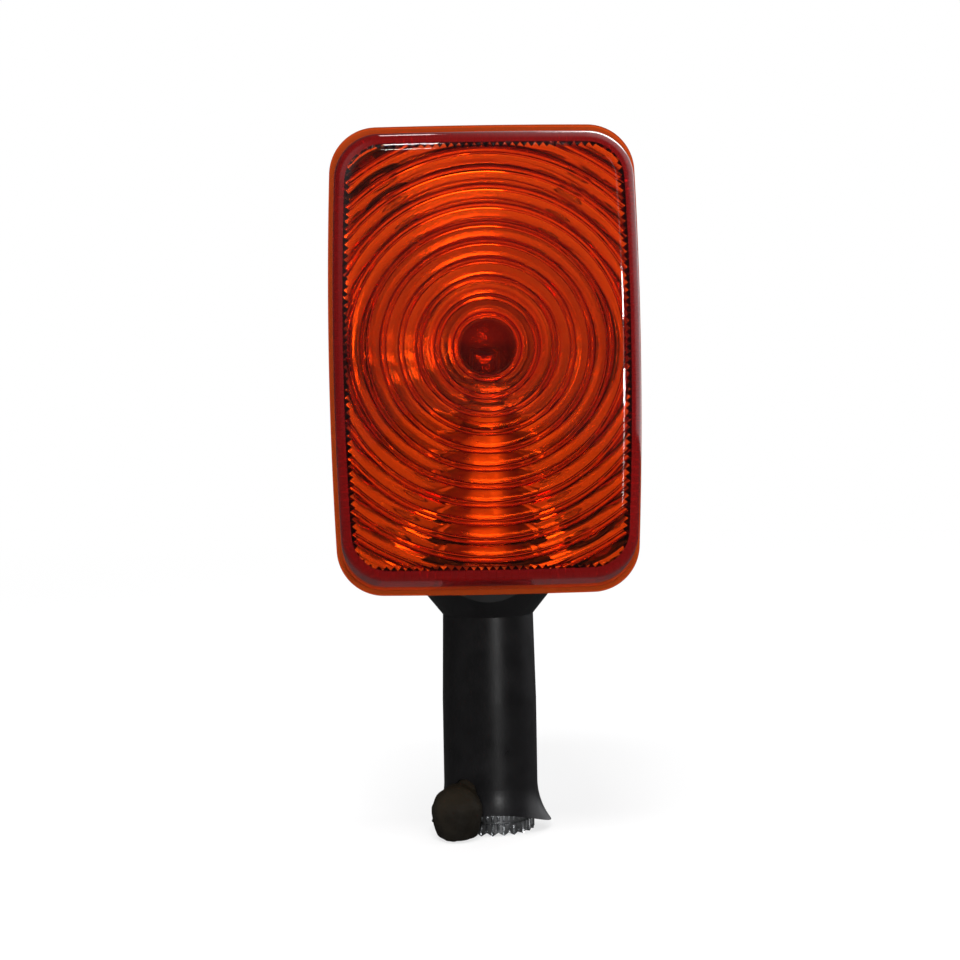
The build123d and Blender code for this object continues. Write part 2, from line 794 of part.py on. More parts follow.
# Reflector: a tray with a dish behind the bulb, notched round the locknut and the pillars
tray_rim_size = inset(lens_rim_size, housing_wall + moulding_clearance)
tray_floor_size = (
    tray_rim_size[0] - 2 * reflector_side_draft,
    tray_rim_size[1] - 2 * reflector_end_draft,
)
dish_sphere_radius = (dish_radius**2 + dish_depth**2) / (2 * dish_depth)


def dish(face_y, radius):
    """The bowl behind a face of the reflector, shared by its front and its back."""
    depth = dish_sphere_radius - sqrt(dish_sphere_radius**2 - radius**2)
    half_turn = radius / dish_sphere_radius / 2
    middle = (dish_sphere_radius * sin(half_turn), dish_sphere_radius * (1 - cos(half_turn)))
    with BuildPart() as bowl:
        with BuildSketch(optic_section):
            with BuildLine():
                Polyline((0, face_y + depth), (0, face_y), (radius, face_y))
                ThreePointArc(
                    (radius, face_y),
                    (middle[0], face_y + depth - middle[1]),
                    (0, face_y + depth),
                )
            make_face()
        revolve(axis=optic_axis)
    return bowl.part


tray_depth = reflector_back_y - parting_y
notch_top_z = bracket_bottom_z - notch_top_margin
notch_height = notch_top_z - head_bottom_z
tray_block = drafted_block(
    parting_y,
    head_outline(tray_rim_size, reflector_corner_radius),
    reflector_back_y,
    head_outline(tray_floor_size, reflector_corner_radius),
)
tray_space = drafted_block(
    parting_y,
    head_outline(inset(tray_rim_size, reflector_wall), reflector_corner_radius - reflector_wall),
    reflector_floor_y,
    head_outline(inset(tray_floor_size, reflector_wall), reflector_corner_radius - reflector_wall),
)
dish_back = dish(reflector_back_y, dish_radius)
dish_front = dish(reflector_floor_y, dish_radius - reflector_wall)
with BuildPart() as reflector:
    add(tray_block)
    add(dish_back)
    add(tray_space, mode=Mode.SUBTRACT)
    add(dish_front, mode=Mode.SUBTRACT)
    for screw_x, screw_z in lens_screw_places.values():
        with BuildSketch(facing_front(reflector_back_y, screw_x, screw_z)):
            Circle(pocket_radius + pocket_wall + moulding_clearance)
        extrude(amount=tray_depth, mode=Mode.SUBTRACT)
    with BuildSketch(facing_front(reflector_back_y, 0, notch_top_z - notch_height)):
        RectangleRounded(notch_half_width * 2, notch_height * 2, notch_corner_radius)
    extrude(amount=tray_depth, mode=Mode.SUBTRACT)
    for screw_x, screw_z in reflector_screw_places + bracket_screw_places:
        with BuildSketch(facing_front(reflector_back_y, screw_x, screw_z)):
            Circle(small_screw_radius + slip_clearance)
        extrude(amount=tray_depth, mode=Mode.SUBTRACT)
reflector.part.label = "reflector"
export_step(reflector.part, "parts/reflector.step")

# Screws that hold the reflector and the holder's bracket to the housing
def small_screw(seat_y, x, z):
    """One of the four equal screws, its head in front of the face at depth seat_y."""
    return pan_head_screw(
        facing_front(seat_y, x, z),
        small_screw_radius,
        small_screw_length,
        small_screw_head_radius,
        small_screw_head_height,
    )


upper_screws = [small_screw(reflector_floor_y, x, z) for x, z in reflector_screw_places]
with BuildPart() as reflector_screws:
    add(upper_screws)
reflector_screws.part.label = "reflector_screws"
export_step(reflector_screws.part, "parts/reflector_screws.step")

ear_screws = [small_screw(plate_front_y, x, z) for x, z in bracket_screw_places]
with BuildPart() as bracket_screws:
    add(ear_screws)
bracket_screws.part.label = "bracket_screws"
export_step(bracket_screws.part, "parts/bracket_screws.step")

# Bulb holder: a bayonet shell with two J slots and a slot at the back for the terminal
rivet_z = terminal_top_z + rivet_rise
slot_radius = pin_radius + bayonet_clearance
pressed_z = pin_z - bayonet_press
mouth_z = holder_top_z + slot_radius
middle_turn = radians(bayonet_turn / 2)
slot_reach = (holder_inner_radius + holder_wall / 2) * sin(middle_turn)
tongue_slot_height = disc_thickness + terminal_thickness + slip_clearance
with BuildPart() as bulb_holder:
    with BuildSketch(bulb_section):
        with BuildLine():
            Polyline(
                (holder_vent_radius, holder_bottom_z),
                (holder_outer_radius, holder_bottom_z),
                (holder_outer_radius, holder_top_z - holder_lip),
                (holder_outer_radius + holder_lip, holder_top_z),
                (holder_inner_radius + holder_lip, holder_top_z),
                (holder_inner_radius, holder_top_z - holder_lip),
                (holder_inner_radius, holder_floor_top_z),
                (holder_vent_radius, holder_floor_top_z),
                close=True,
            )
        make_face()
    revolve(axis=bulb_axis)
    for half_turn in (0, pi):
        outwards = Vector(cos(half_turn + middle_turn), sin(half_turn + middle_turn))
        slot_plane = Plane(
            origin=Vector(0, bulb_y) + outwards * (holder_inner_radius - holder_wall),
            x_dir=Vector(-outwards.Y, outwards.X),
            z_dir=outwards,
        )
        with BuildSketch(slot_plane):
            SlotCenterPoint(
                (0, (pin_z + pressed_z) / 2),
                (slot_reach, pressed_z),
                2 * slot_radius,
            )
            SlotCenterPoint(
                (slot_reach, (pressed_z + mouth_z) / 2),
                (slot_reach, mouth_z),
                2 * slot_radius,
            )
        extrude(amount=holder_wall * 3 + holder_lip, mode=Mode.SUBTRACT)
    with BuildSketch(facing_front(bulb_y + holder_outer_radius, 0, holder_floor_top_z)):
        with Locations((0, tongue_slot_height / 2)):
            Rectangle(disc_tongue_width + 2 * push_fit_clearance, tongue_slot_height)
    extrude(amount=holder_wall * 2, mode=Mode.SUBTRACT)
    with BuildSketch(Plane.YZ.offset(-holder_outer_radius)):
        with Locations((bulb_y, rivet_z)):
            Circle(rivet_radius)
    extrude(amount=holder_outer_radius * 2, mode=Mode.SUBTRACT)
bulb_holder.part.label = "bulb_holder"
export_step(bulb_holder.part, "parts/bulb_holder.step")

# Bracket: a band round the back of the shell, a plate with two ears and a solder tab
band_bottom_z = rivet_z - rivet_head_radius - slip_clearance
plate_top_z = bracket_bottom_z + bracket_plate_height
with BuildPart() as holder_bracket:
    with BuildSketch(Plane.XY.offset(band_bottom_z)):
        with Locations((0, bulb_y)):
            Circle(band_radius + bracket_thickness)
            with Locations((0, -band_radius - band_wrap)):
                Rectangle(4 * band_radius, 2 * band_radius, mode=Mode.SUBTRACT)
    extrude(amount=plate_top_z - band_bottom_z)
    with BuildSketch(facing_front(reflector_floor_y, 0, bracket_screw_z)):
        RectangleRounded(bracket_width, bracket_plate_height, bracket_plate_height / 4)
        with Locations((earth_lead_x, -bracket_plate_height / 2 - earth_tab_drop / 2)):
            Rectangle(earth_tab_width, earth_tab_drop)
    extrude(amount=bracket_thickness)
    with BuildSketch(Plane.XY.offset(band_bottom_z)):
        with Locations((0, bulb_y)):
            Circle(band_radius)
    extrude(amount=plate_top_z - band_bottom_z, mode=Mode.SUBTRACT)
    for screw_x, screw_z in bracket_screw_places:
        with BuildSketch(facing_front(reflector_floor_y, screw_x, screw_z)):
            Circle(small_screw_radius + slip_clearance)
        extrude(amount=bracket_thickness, mode=Mode.SUBTRACT)
    with BuildSketch(Plane.YZ.offset(-band_radius - bracket_thickness)):
        with Locations((bulb_y, rivet_z)):
            Circle(rivet_radius)
    extrude(amount=2 * (band_radius + bracket_thickness), mode=Mode.SUBTRACT)
holder_bracket.part.label = "holder_bracket"
export_step(holder_bracket.part, "parts/holder_bracket.step")

# Rivets through the band and the shell, left and right, with a head at each end
with BuildPart() as holder_rivets:
    for side in (-1, 1):
        inner_x = side * (holder_inner_radius - rivet_head_height)
        with BuildSketch(Plane(origin=(inner_x, bulb_y, rivet_z), z_dir=(side, 0, 0))):
            Circle(rivet_head_radius)
        extrude(amount=band_radius + bracket_thickness + rivet_head_height - abs(inner_x))
    add(bulb_holder.part, mode=Mode.SUBTRACT)
    add(holder_bracket.part, mode=Mode.SUBTRACT)
holder_rivets.part.label = "holder_rivets"
export_step(holder_rivets.part, "parts/holder_rivets.step")

# Insulating disc and feed terminal in the bottom of the shell, with tongues to the back
disc_radius = holder_inner_radius - push_fit_clearance
with BuildPart() as insulator_disc:
    with BuildSketch(Plane.XY.offset(holder_floor_top_z)):
        with Locations((0, bulb_y)):
            Circle(disc_radius)
            with Locations((0, (holder_outer_radius + disc_thickness) / 2)):
                Rectangle(disc_tongue_width, holder_outer_radius + disc_thickness)
    extrude(amount=disc_thickness)
insulator_disc.part.label = "insulator_disc"
export_step(insulator_disc.part, "parts/insulator_disc.step")

with BuildPart() as feed_terminal:
    with BuildSketch(Plane.XY.offset(disc_top_z)):
        with Locations((0, bulb_y)):
            Circle(terminal_radius)
        with Locations((0, (bulb_y + terminal_tab_reach) / 2)):
            Rectangle(terminal_tab_width, terminal_tab_reach - bulb_y)
    extrude(amount=terminal_thickness)
feed_terminal.part.label = "feed_terminal"
export_step(feed_terminal.part, "parts/feed_terminal.step")

# Contact spring between the terminal and the plunger's flange
coil_height = spring_height - 2 * spring_wire_radius
with BuildPart() as contact_spring:
    with BuildLine() as coil:
        Helix(
            coil_height / spring_turns,
            coil_height,
            spring_radius,
            center=(0, bulb_y, terminal_top_z + spring_wire_radius),
        )
    with BuildSketch(Plane(origin=coil.line @ 0, z_dir=coil.line % 0)):
        Circle(spring_wire_radius)
    sweep(path=coil.line, is_frenet=True)
one_turn = 1 / spring_turns
turn_gaps = []
for step in range(spring_check_points + 1):
    share = (1 - one_turn) * step / spring_check_points
    turn_gaps.append((coil.line @ share - coil.line @ (share + one_turn)).length)
print("spring's least gap to itself", round(min(turn_gaps) - 2 * spring_wire_radius, 2))
contact_spring.part.label = "contact_spring"
export_step(contact_spring.part, "parts/contact_spring.step")

# Plunger and the fibre carrier that guides it in the shell
with BuildPart() as contact_plunger:
    with BuildSketch(bulb_section):
        with BuildLine():
            Polyline(
                (0, flange_bottom_z),
                (plunger_flange_radius, flange_bottom_z),
                (plunger_flange_radius, carrier_bottom_z),
                (plunger_shank_radius, carrier_bottom_z),
                (plunger_shank_radius, carrier_top_z),
                (plunger_head_radius, carrier_top_z),
                (plunger_head_radius - edge_break, contact_z),
                (0, contact_z),
                close=True,
            )
        make_face()
    revolve(axis=bulb_axis)
contact_plunger.part.label = "contact_plunger"
export_step(contact_plunger.part, "parts/contact_plunger.step")

carrier_bore = plunger_shank_radius + push_fit_clearance
carrier_radius = holder_inner_radius - slip_clearance
with BuildPart() as contact_carrier:
    with BuildSketch(bulb_section):
        with BuildLine():
            Polyline(
                (carrier_bore, carrier_bottom_z),
                (carrier_radius - edge_break, carrier_bottom_z),
                (carrier_radius, carrier_bottom_z + edge_break),
                (carrier_radius, carrier_top_z - edge_break),
                (carrier_radius - edge_break, carrier_top_z),
                (carrier_bore, carrier_top_z),
                close=True,
            )
        make_face()
    revolve(axis=bulb_axis)
contact_carrier.part.label = "contact_carrier"
export_step(contact_carrier.part, "parts/contact_carrier.step")

# Bulb: brass cap with its two pins, black insulator, contact, glass and filament
cap_bottom_z = pin_z - cap_bottom
cap_top_z = pin_z + cap_top
cap_bore = cap_radius - cap_wall
insulator_nose_z = contact_z + contact_stand_out
with BuildPart() as bulb_cap:
    with BuildSketch(bulb_section):
        with BuildLine():
            Polyline(
                (cap_bore, cap_bottom_z),
                (cap_radius - edge_break, cap_bottom_z),
                (cap_radius, cap_bottom_z + edge_break),
                (cap_radius, cap_top_z),
                (cap_bore, cap_top_z),
                close=True,
            )
        make_face()
    revolve(axis=bulb_axis)
    for side in (-1, 1):
        with BuildSketch(Plane(origin=(side * cap_bore, bulb_y, pin_z), z_dir=(side, 0, 0))):
            Circle(pin_radius)
        extrude(amount=pin_circle_radius - cap_bore)
bulb_cap.part.label = "bulb_cap"
export_step(bulb_cap.part, "parts/bulb_cap.step")

with BuildPart() as bulb_base_insulator:
    with BuildSketch(bulb_section):
        with BuildLine():
            Polyline(
                (contact_radius, insulator_nose_z),
                (insulator_nose_radius, insulator_nose_z),
                (cap_bore, cap_bottom_z),
                (cap_bore, cap_bottom_z + insulator_nose_height),
                (contact_radius, cap_bottom_z + insulator_nose_height),
                close=True,
            )
        make_face()
    revolve(axis=bulb_axis)
bulb_base_insulator.part.label = "bulb_base_insulator"
export_step(bulb_base_insulator.part, "parts/bulb_base_insulator.step")

with BuildPart() as bulb_contact:
    with BuildSketch(bulb_section):
        with BuildLine():
            Polyline(
                (0, contact_z),
                (contact_radius - contact_dome, contact_z),
                (contact_radius, contact_z + contact_dome),
                (contact_radius, cap_bottom_z + insulator_nose_height),
                (0, cap_bottom_z + insulator_nose_height),
                close=True,
            )
        make_face()
    revolve(axis=bulb_axis)
bulb_contact.part.label = "bulb_contact"
export_step(bulb_contact.part, "parts/bulb_contact.step")

glass_bottom_z = cap_top_z - glass_neck_depth
inner_neck_radius = glass_neck_radius - glass_wall
inner_globe_radius = globe_radius - glass_wall
neck_top_z = optic_z - sqrt(globe_radius**2 - glass_neck_radius**2)
inner_neck_top_z = optic_z - sqrt(inner_globe_radius**2 - inner_neck_radius**2)
with BuildPart() as bulb_glass:
    with BuildSketch(bulb_section):
        with BuildLine():
            Polyline(
                (0, optic_z + globe_radius),
                (0, glass_bottom_z),
                (glass_neck_radius, glass_bottom_z),
                (glass_neck_radius, neck_top_z),
            )
            ThreePointArc(
                (glass_neck_radius, neck_top_z),
                (globe_radius, optic_z),
                (0, optic_z + globe_radius),
            )
        make_face()
        with BuildLine():
            Polyline(
                (0, optic_z + inner_globe_radius),
                (0, glass_bottom_z),
                (inner_neck_radius, glass_bottom_z),
                (inner_neck_radius, inner_neck_top_z),
            )
            ThreePointArc(
                (inner_neck_radius, inner_neck_top_z),
                (inner_globe_radius, optic_z),
                (0, optic_z + inner_globe_radius),
            )
        make_face(mode=Mode.SUBTRACT)
    revolve(axis=bulb_axis)
bulb_glass.part.label = "bulb_glass"
export_step(bulb_glass.part, "parts/bulb_glass.step")

# Glass stem inside the bulb: a flared foot that closes the neck, and the flat pinch
with BuildPart() as bulb_pinch:
    with BuildSketch(bulb_section):
        with BuildLine():
            Polyline(
                (0, glass_bottom_z),
                (inner_neck_radius - push_fit_clearance, glass_bottom_z),
                (inner_neck_radius - push_fit_clearance, glass_bottom_z + glass_wall),
                (pinch_thickness, glass_bottom_z + 2 * glass_wall),
                (pinch_thickness, glass_bottom_z + pinch_height / 2),
                (0, glass_bottom_z + pinch_height / 2),
                close=True,
            )
        make_face()
    revolve(axis=bulb_axis)
    with BuildSketch(Plane.XY.offset(glass_bottom_z + glass_wall)):
        with Locations((0, bulb_y)):
            Rectangle(pinch_width, pinch_thickness)
    extrude(amount=pinch_height - glass_wall)
    with BuildSketch(Plane.XY.offset(glass_bottom_z + pinch_height)):
        with Locations((0, bulb_y)):
            with Locations((-support_spacing / 2, 0), (support_spacing / 2, 0)):
                Circle(support_radius)
    extrude(amount=-pinch_height / 2, mode=Mode.SUBTRACT)
bulb_pinch.part.label = "bulb_pinch"
export_step(bulb_pinch.part, "parts/bulb_pinch.step")

# The two support wires, and the filament between them as one plain bowed rod
with BuildPart() as filament_supports:
    with BuildSketch(Plane.XY.offset(glass_bottom_z + pinch_height / 2)):
        with Locations((0, bulb_y)):
            with Locations((-support_spacing / 2, 0), (support_spacing / 2, 0)):
                Circle(support_radius)
    extrude(amount=optic_z + filament_radius - glass_bottom_z - pinch_height / 2)
filament_supports.part.label = "filament_supports"
export_step(filament_supports.part, "parts/filament_supports.step")

with BuildPart() as bulb_filament:
    with BuildLine(bulb_section) as filament_line:
        ThreePointArc(
            (-support_spacing / 2, optic_z),
            (0, optic_z + filament_sag),
            (support_spacing / 2, optic_z),
        )
    with BuildSketch(Plane(origin=filament_line.line @ 0, z_dir=filament_line.line % 0)):
        Circle(filament_radius)
    sweep(path=filament_line.line)
    add(filament_supports.part, mode=Mode.SUBTRACT)
bulb_filament.part.label = "bulb_filament"
export_step(bulb_filament.part, "parts/bulb_filament.step")
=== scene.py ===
"""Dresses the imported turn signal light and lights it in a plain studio.

Metres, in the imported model's frame: +Z runs up the stem, the lens faces -Y and +X is to
the right of someone who looks at the lens.
"""

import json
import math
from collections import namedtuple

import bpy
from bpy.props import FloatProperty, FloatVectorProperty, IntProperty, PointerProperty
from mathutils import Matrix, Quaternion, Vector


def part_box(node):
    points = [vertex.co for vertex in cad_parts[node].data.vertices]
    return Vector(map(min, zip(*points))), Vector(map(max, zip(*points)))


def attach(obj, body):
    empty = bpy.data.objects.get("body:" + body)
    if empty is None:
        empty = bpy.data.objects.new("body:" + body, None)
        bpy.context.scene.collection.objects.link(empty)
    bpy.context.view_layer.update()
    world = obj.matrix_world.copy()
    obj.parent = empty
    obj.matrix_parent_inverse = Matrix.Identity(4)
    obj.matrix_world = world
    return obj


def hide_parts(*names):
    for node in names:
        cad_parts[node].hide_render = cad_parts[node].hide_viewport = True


bl_info = {
    "name": "Turn signal light",
    "version": (1, 0, 0),
    "blender": (4, 5, 0),
    "location": "View3D > Sidebar > Turn signal",
    "description": "Lens, reflector, bulb, housing and stem of a turn signal light",
    "category": "Object",
}

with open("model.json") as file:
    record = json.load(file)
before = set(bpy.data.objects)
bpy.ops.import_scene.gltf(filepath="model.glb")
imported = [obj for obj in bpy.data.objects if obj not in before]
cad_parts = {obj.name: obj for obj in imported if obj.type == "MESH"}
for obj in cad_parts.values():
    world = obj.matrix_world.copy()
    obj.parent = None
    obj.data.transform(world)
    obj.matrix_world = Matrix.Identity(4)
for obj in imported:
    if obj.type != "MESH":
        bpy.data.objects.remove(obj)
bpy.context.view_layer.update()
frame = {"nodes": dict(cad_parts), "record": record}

MM = 0.001
LENS_LOW, LENS_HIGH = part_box("lens")
RING_LOW, RING_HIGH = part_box("threaded_insert")
HEAD_CENTRE_Z = (LENS_LOW.z + LENS_HIGH.z) / 2
OPTIC_Z = HEAD_CENTRE_Z + 1.9 * MM
BODIES = frame["record"]["behaviour"]["bodies"]
BODY_OF = {node: body for body, nodes in BODIES.items() for node in nodes}
SLOT_OF = {row["node"]: row["material_slot"] for row in frame["record"]["subparts"]}

WELD = 0.001 * MM  # places closer than this are one
WIDE_WELD = 0.002 * MM  # the same for a skin that has just been drawn
OVERSHOOT = 1.0 * MM  # how far a cutting tool stands out of what it cuts

# Steps round or along the pieces modelled here
OUTLINE_STEPS = 400
FILLET_STEPS = 12
RING_STEPS = 224
DISC_STEPS = 96
BOSS_STEPS = 48
TOOTH_STEPS = 8
BOOT_STEPS = 48
BAR_STEPS = 40

# One optic ring from its inner edge: (way outwards in mm, share of the ring's height)
RING_RIDGE = ((0.16, 0.40), (0.34, 0.68), (0.62, 0.80), (0.90, 0.68), (1.08, 0.40), (1.26, 0.04))
RING_BAND = ((1.50, 0.16), (1.90, 0.25), (2.30, 0.27), (2.70, 0.20), (3.05, 0.08))
RING_ROOT = 0.4 * MM  # how far the rings' tool reaches into the face
KNURL = 0.955  # radius in the knurls' grooves as a share of the ring's
DISC_EDGE = 0.3 * MM  # the plain disc's gap to the first ring

# The boot from below: (radius, height) in mm
BOOT_PROFILE = (
    (0.05, 0.3), (3.2, 0.3), (3.9, 0.7), (4.3, 1.8), (4.7, 3.4), (5.0, 5.2), (5.0, 6.6),
    (4.5, 7.9), (3.6, 9.0), (2.6, 10.0), (1.4, 10.7), (0.05, 11.0),
)

AMBER_INDEX = 1.49  # of refraction
GLASS_INDEX = 1.5
AMBER_DENSITY = 1000.0  # a metre, so that 1 mm keeps exp(colour - 1) of each colour
POLISH = 0.03  # roughness of the face's outside
WALL_GLOSS = 0.06  # roughness of the walls
SQUARELY, SLANTED = 0.30, 0.82  # a wall turns from amber to red between these slants
TO_THE_FRONT = -0.90  # the face is what looks forward more than this along Y
DISC_BLEND = 0.4 * MM  # width over which the disc's painted shade fades in
FROST_BLEND = 0.1 * MM  # the same for the frost through the face
EDGE_START, EDGE_BLEND = 0.1 * MM, 5.5 * MM  # and for the red edge behind the fillet
GLASS_TINT = (0.84, 0.83, 0.82)
BUMP_HEIGHT = 0.1 * MM
COARSE_GRAIN = 0.11  # scale of the broad noise as a share of the fine one's

# The stage: white to the camera, and greys that the light shows or mirrors
WHITE = (1.0, 1.0, 1.0)
FLOOR_RADIUS, FLOOR_STEPS = 3.0, 128
FLOOR_GAP = 0.05 * MM  # keeps the floor off what stands on it
FLOOR_GREY = (0.9, 0.9, 0.9)
SHADOW_NEAR, SHADOW_FAR = 0.04, 0.9  # the floor's shadow fades out between these
SHADOW_GLOW = 0.72  # share of plain white under the light
MIRRORED_FLOOR = 0.95  # share of its glow that the floor loses in a reflection
PALE_CEILING, DIM_LEVEL = (0.95, 0.94, 0.92), (0.30, 0.30, 0.30)
PALE_LEFT, DIM_FRONT = (0.95, 0.93, 0.9), (0.18, 0.18, 0.18)
MIRRORED_LEFT_LOW, MIRRORED_LEFT_HIGH = (0.12, 0.12, 0.12), (0.60, 0.60, 0.61)
MIRRORED_FRONT = (0.08, 0.08, 0.09)
MIRRORED_BACK_LEFT, MIRRORED_BACK_RIGHT = (0.03, 0.03, 0.03), (0.92, 0.92, 0.95)
DIFFUSE_GREY = (0.55, 0.55, 0.56)

Lamp = namedtuple("Lamp", "name place aim size watts mirrored")
LAMPS = (
    Lamp("ceiling_softbox", (-0.10, -0.62, 0.95), (0, 0, 0.09), (0.45, 0.30), 9.0, False),
    Lamp("side_softbox", (0.95, -0.10, 0.35), (0, 0, 0.09), (0.25, 0.50), 3.0, False),
    Lamp("back_softbox", (0.35, 0.90, 0.75), (0, 0, 0.09), (0.50, 0.40), 3.5, True),
    Lamp("window_strip", (0.34, -1.10, 0.25), (0, 0, 0.05), (0.07, 0.50), 0.14, True),
    Lamp("ceiling_pane", (-0.042, -0.55, 0.98), (0, 0, 0.12), (0.05, 0.10), 0.40, True),
    Lamp("ceiling_pane_near", (-0.045, -0.95, 0.70), (0, 0, 0.12), (0.05, 0.04), 0.20, True),
    Lamp("ceiling_pane_far", (-0.050, 0.55, 0.92), (0, 0, 0.12), (0.06, 0.16), 0.20, True),
    Lamp("window_pane_high", (0.36, -1.08, 0.19), (0, 0, 0.11), (0.10, 0.04), 0.75, True),
    Lamp("window_pane_middle", (0.36, -1.08, 0.107), (0, 0, 0.09), (0.13, 0.030), 0.90, True),
    Lamp("window_pane_low", (0.34, -1.10, 0.045), (0, 0, 0.03), (0.05, 0.085), 0.20, True),
)

CAMERA_PLACE = (-7.1 * MM, -342 * MM, LENS_LOW.z + 33.0 * MM)
CAMERA_TURN = (1.0, -1.9, 1.0)  # yaw, pitch and roll in degrees
CAMERA_SENSOR = 36.0
CAMERA_FOCUS = 1700 / 960  # focal length as a share of the picture's width

# Colour (or a colour setting's name), metallic, shade, roughness, spread of the roughness,
# grains a metre, depth of the bump, stretch of the grain, specular level
Finish = namedtuple(
    "Finish", "colour metallic shade roughness spread scale depth stretch specular")
EVEN = (1, 1, 1)  # grain that is stretched no way
FINISHES = {
    "black_moulding": Finish("black", 0.0, 0.15, 0.36, 0.07, 2600.0, 0.14, EVEN, 0.45),
    "bright_steel": Finish(
        (0.50, 0.51, 0.52), 1.0, 0.22, 0.24, 0.10, 1100.0, 0.14, (1, 1, 5), 0.5),
    "plated_steel": Finish((0.72, 0.71, 0.68), 1.0, 0.10, 0.34, 0.08, 1200.0, 0.12, EVEN, 0.5),
    "spring_steel": Finish((0.40, 0.40, 0.42), 1.0, 0.10, 0.32, 0.06, 1500.0, 0.10, EVEN, 0.5),
    "black_rubber": Finish("rubber", 0.0, 0.35, 0.66, 0.10, 1100.0, 0.60, EVEN, 0.30),
    "feed_insulation": Finish(
        (0.36, 0.018, 0.012), 0.0, 0.08, 0.40, 0.05, 1500.0, 0.10, EVEN, 0.4),
    "earth_insulation": Finish(
        (0.012, 0.012, 0.013), 0.0, 0.12, 0.42, 0.05, 1500.0, 0.10, EVEN, 0.4),
    "mirror_plating": Finish((0.88, 0.88, 0.89), 1.0, 0.03, 0.12, 0.04, 260.0, 0.16, EVEN, 0.5),
    "fibre_board": Finish(
        (0.17, 0.08, 0.038), 0.0, 0.25, 0.74, 0.08, 1800.0, 0.45, (1, 1, 8), 0.35),
    "brass": Finish((0.72, 0.50, 0.21), 1.0, 0.12, 0.30, 0.08, 900.0, 0.12, (1, 1, 6), 0.5),
    "solder": Finish((0.55, 0.55, 0.57), 1.0, 0.10, 0.36, 0.08, 700.0, 0.35, EVEN, 0.5),
    "black_glass": Finish((0.009, 0.009, 0.011), 0.0, 0.08, 0.12, 0.04, 500.0, 0.12, EVEN, 0.5),
    "filament_wire": Finish((0.30, 0.30, 0.32), 1.0, 0.10, 0.36, 0.06, 2000.0, 0.12, EVEN, 0.5),
}


def length(name, description, millimetres):
    """A setting that holds a length."""
    return FloatProperty(
        name=name, description=description, default=millimetres * MM, unit="LENGTH")


def tint(name, description, colour):
    """A setting that holds a colour."""
    return FloatVectorProperty(
        name=name, description=description, default=colour, subtype="COLOR")


class LensSizes(bpy.types.PropertyGroup):
    """Sizes of the lens that its outer box doesn't give."""

    side_bow: length("Side bow", "How far the long sides bow out", 1.2)
    end_bow: length("End bow", "How far the short sides bow out", 0.3)
    rim_corner: length("Rim corner", "Corner radius at the rim", 8.5)
    front_corner: length("Inner corner", "Corner radius of the cavity at the face", 4.0)
    bead_width: length("Bead width", "How far the rim bead stands out", 0.6)
    bead_height: length("Bead height", "Height of the rim bead", 2.0)
    side_draft: length("Side draft", "Inset of each long side at the face", 1.75)
    end_draft: length("End draft", "Inset of each short side at the face", 4.3)
    front_fillet: length("Front fillet", "Radius of the face's edge", 3.4)
    wall: length("Wall", "Thickness of the face and of the walls at the rim", 2.2)
    front_wall: length("Front wall", "Thickness of the walls at the face", 3.0)
    flute_pitch: length("Flute pitch", "Spacing of the flutes inside the walls", 1.6)
    flute_depth: length("Flute depth", "Depth of the flutes", 0.7)
    disc_radius: length("Plain disc", "Radius of the plain disc in the rings", 5.1)
    disc_height: length("Disc height", "Extra thickness of the plain disc", 1.1)
    ring_pitch: length("Ring pitch", "Spacing of the optic rings", 3.27)
    ring_count: IntProperty(
        name="Rings", description="Number of optic rings", default=12, min=1)
    ring_height: length("Ring height", "Height of a ring's crest", 1.1)
    boss_radius: length("Boss radius", "Radius of the screw bosses", 3.2)
    boss_length: length("Boss length", "Length of the screw bosses", 9.3)
    boss_floor: length("Boss floor", "Thickness at the end of a screw hole", 1.3)
    screw_bore: length("Screw bore", "Radius of the screw holes", 1.8)


class FootSizes(bpy.types.PropertyGroup):
    """Sizes of the insert and of the boot under the stem."""

    tooth_count: IntProperty(
        name="Teeth", description="Teeth on the ring's underside", default=24, min=6)
    tooth_depth: length("Tooth depth", "Depth of the serration", 0.7)
    ring_height: length("Ring height", "Height of the insert's ring", 4.5)
    barrel_radius: length("Barrel radius", "Radius of the moulded-in barrel", 5.3)
    bore_radius: length("Bore radius", "Radius of the insert's thread", 3.4)
    boot_heading: FloatProperty(
        name="Boot heading", description="Turn of the boot from the front, in degrees",
        default=34.6)
    outlet_start: length("Outlet start", "Height where the outlet leaves the axis", 14.7)
    outlet_drop: length("Outlet drop", "Fall of the outlet to the elbow", 8.5)
    outlet_reach: length("Outlet reach", "Reach of the outlet to the elbow", 12.2)
    neck_start: length("Neck start", "Way along the outlet to the boot's neck", 9.2)
    neck_radius: length("Neck radius", "Radius of the boot's neck", 2.6)
    boot_bore: length("Boot bore", "Radius of the bore for the leads", 2.0)


class Finishes(bpy.types.PropertyGroup):
    """Colours, and the frost, that a user would change."""

    amber: tint("Amber", "Tint of the lens's face", (1.0, 0.77, 0.42))
    wall_red: tint(
        "Wall red", "Tint of the lens's walls at a slant and at their front edge",
        (0.31, 0.007, 0.007))
    wall_amber: tint(
        "Wall amber", "Tint of the lens's walls where they are looked through squarely",
        (0.70, 0.10, 0.012))
    # painted shade: the plain disc's darker brown stands in for the dark view through it
    disc_brown: tint("Disc brown", "Tint of the lens's plain disc", (0.62, 0.34, 0.16))
    amber_depth: tint(
        "Amber depth", "Colour that the lens keeps with depth", (0.985, 0.55, 0.02))
    frost: FloatProperty(
        name="Frost", description="Roughness of the lens's inside", default=0.07,
        min=0.0, max=1.0)
    black: tint("Black moulding", "Colour of the black mouldings", (0.0048, 0.0045, 0.0050))
    rubber: tint("Rubber", "Colour of the boot and the gasket", (0.0095, 0.0068, 0.0032))


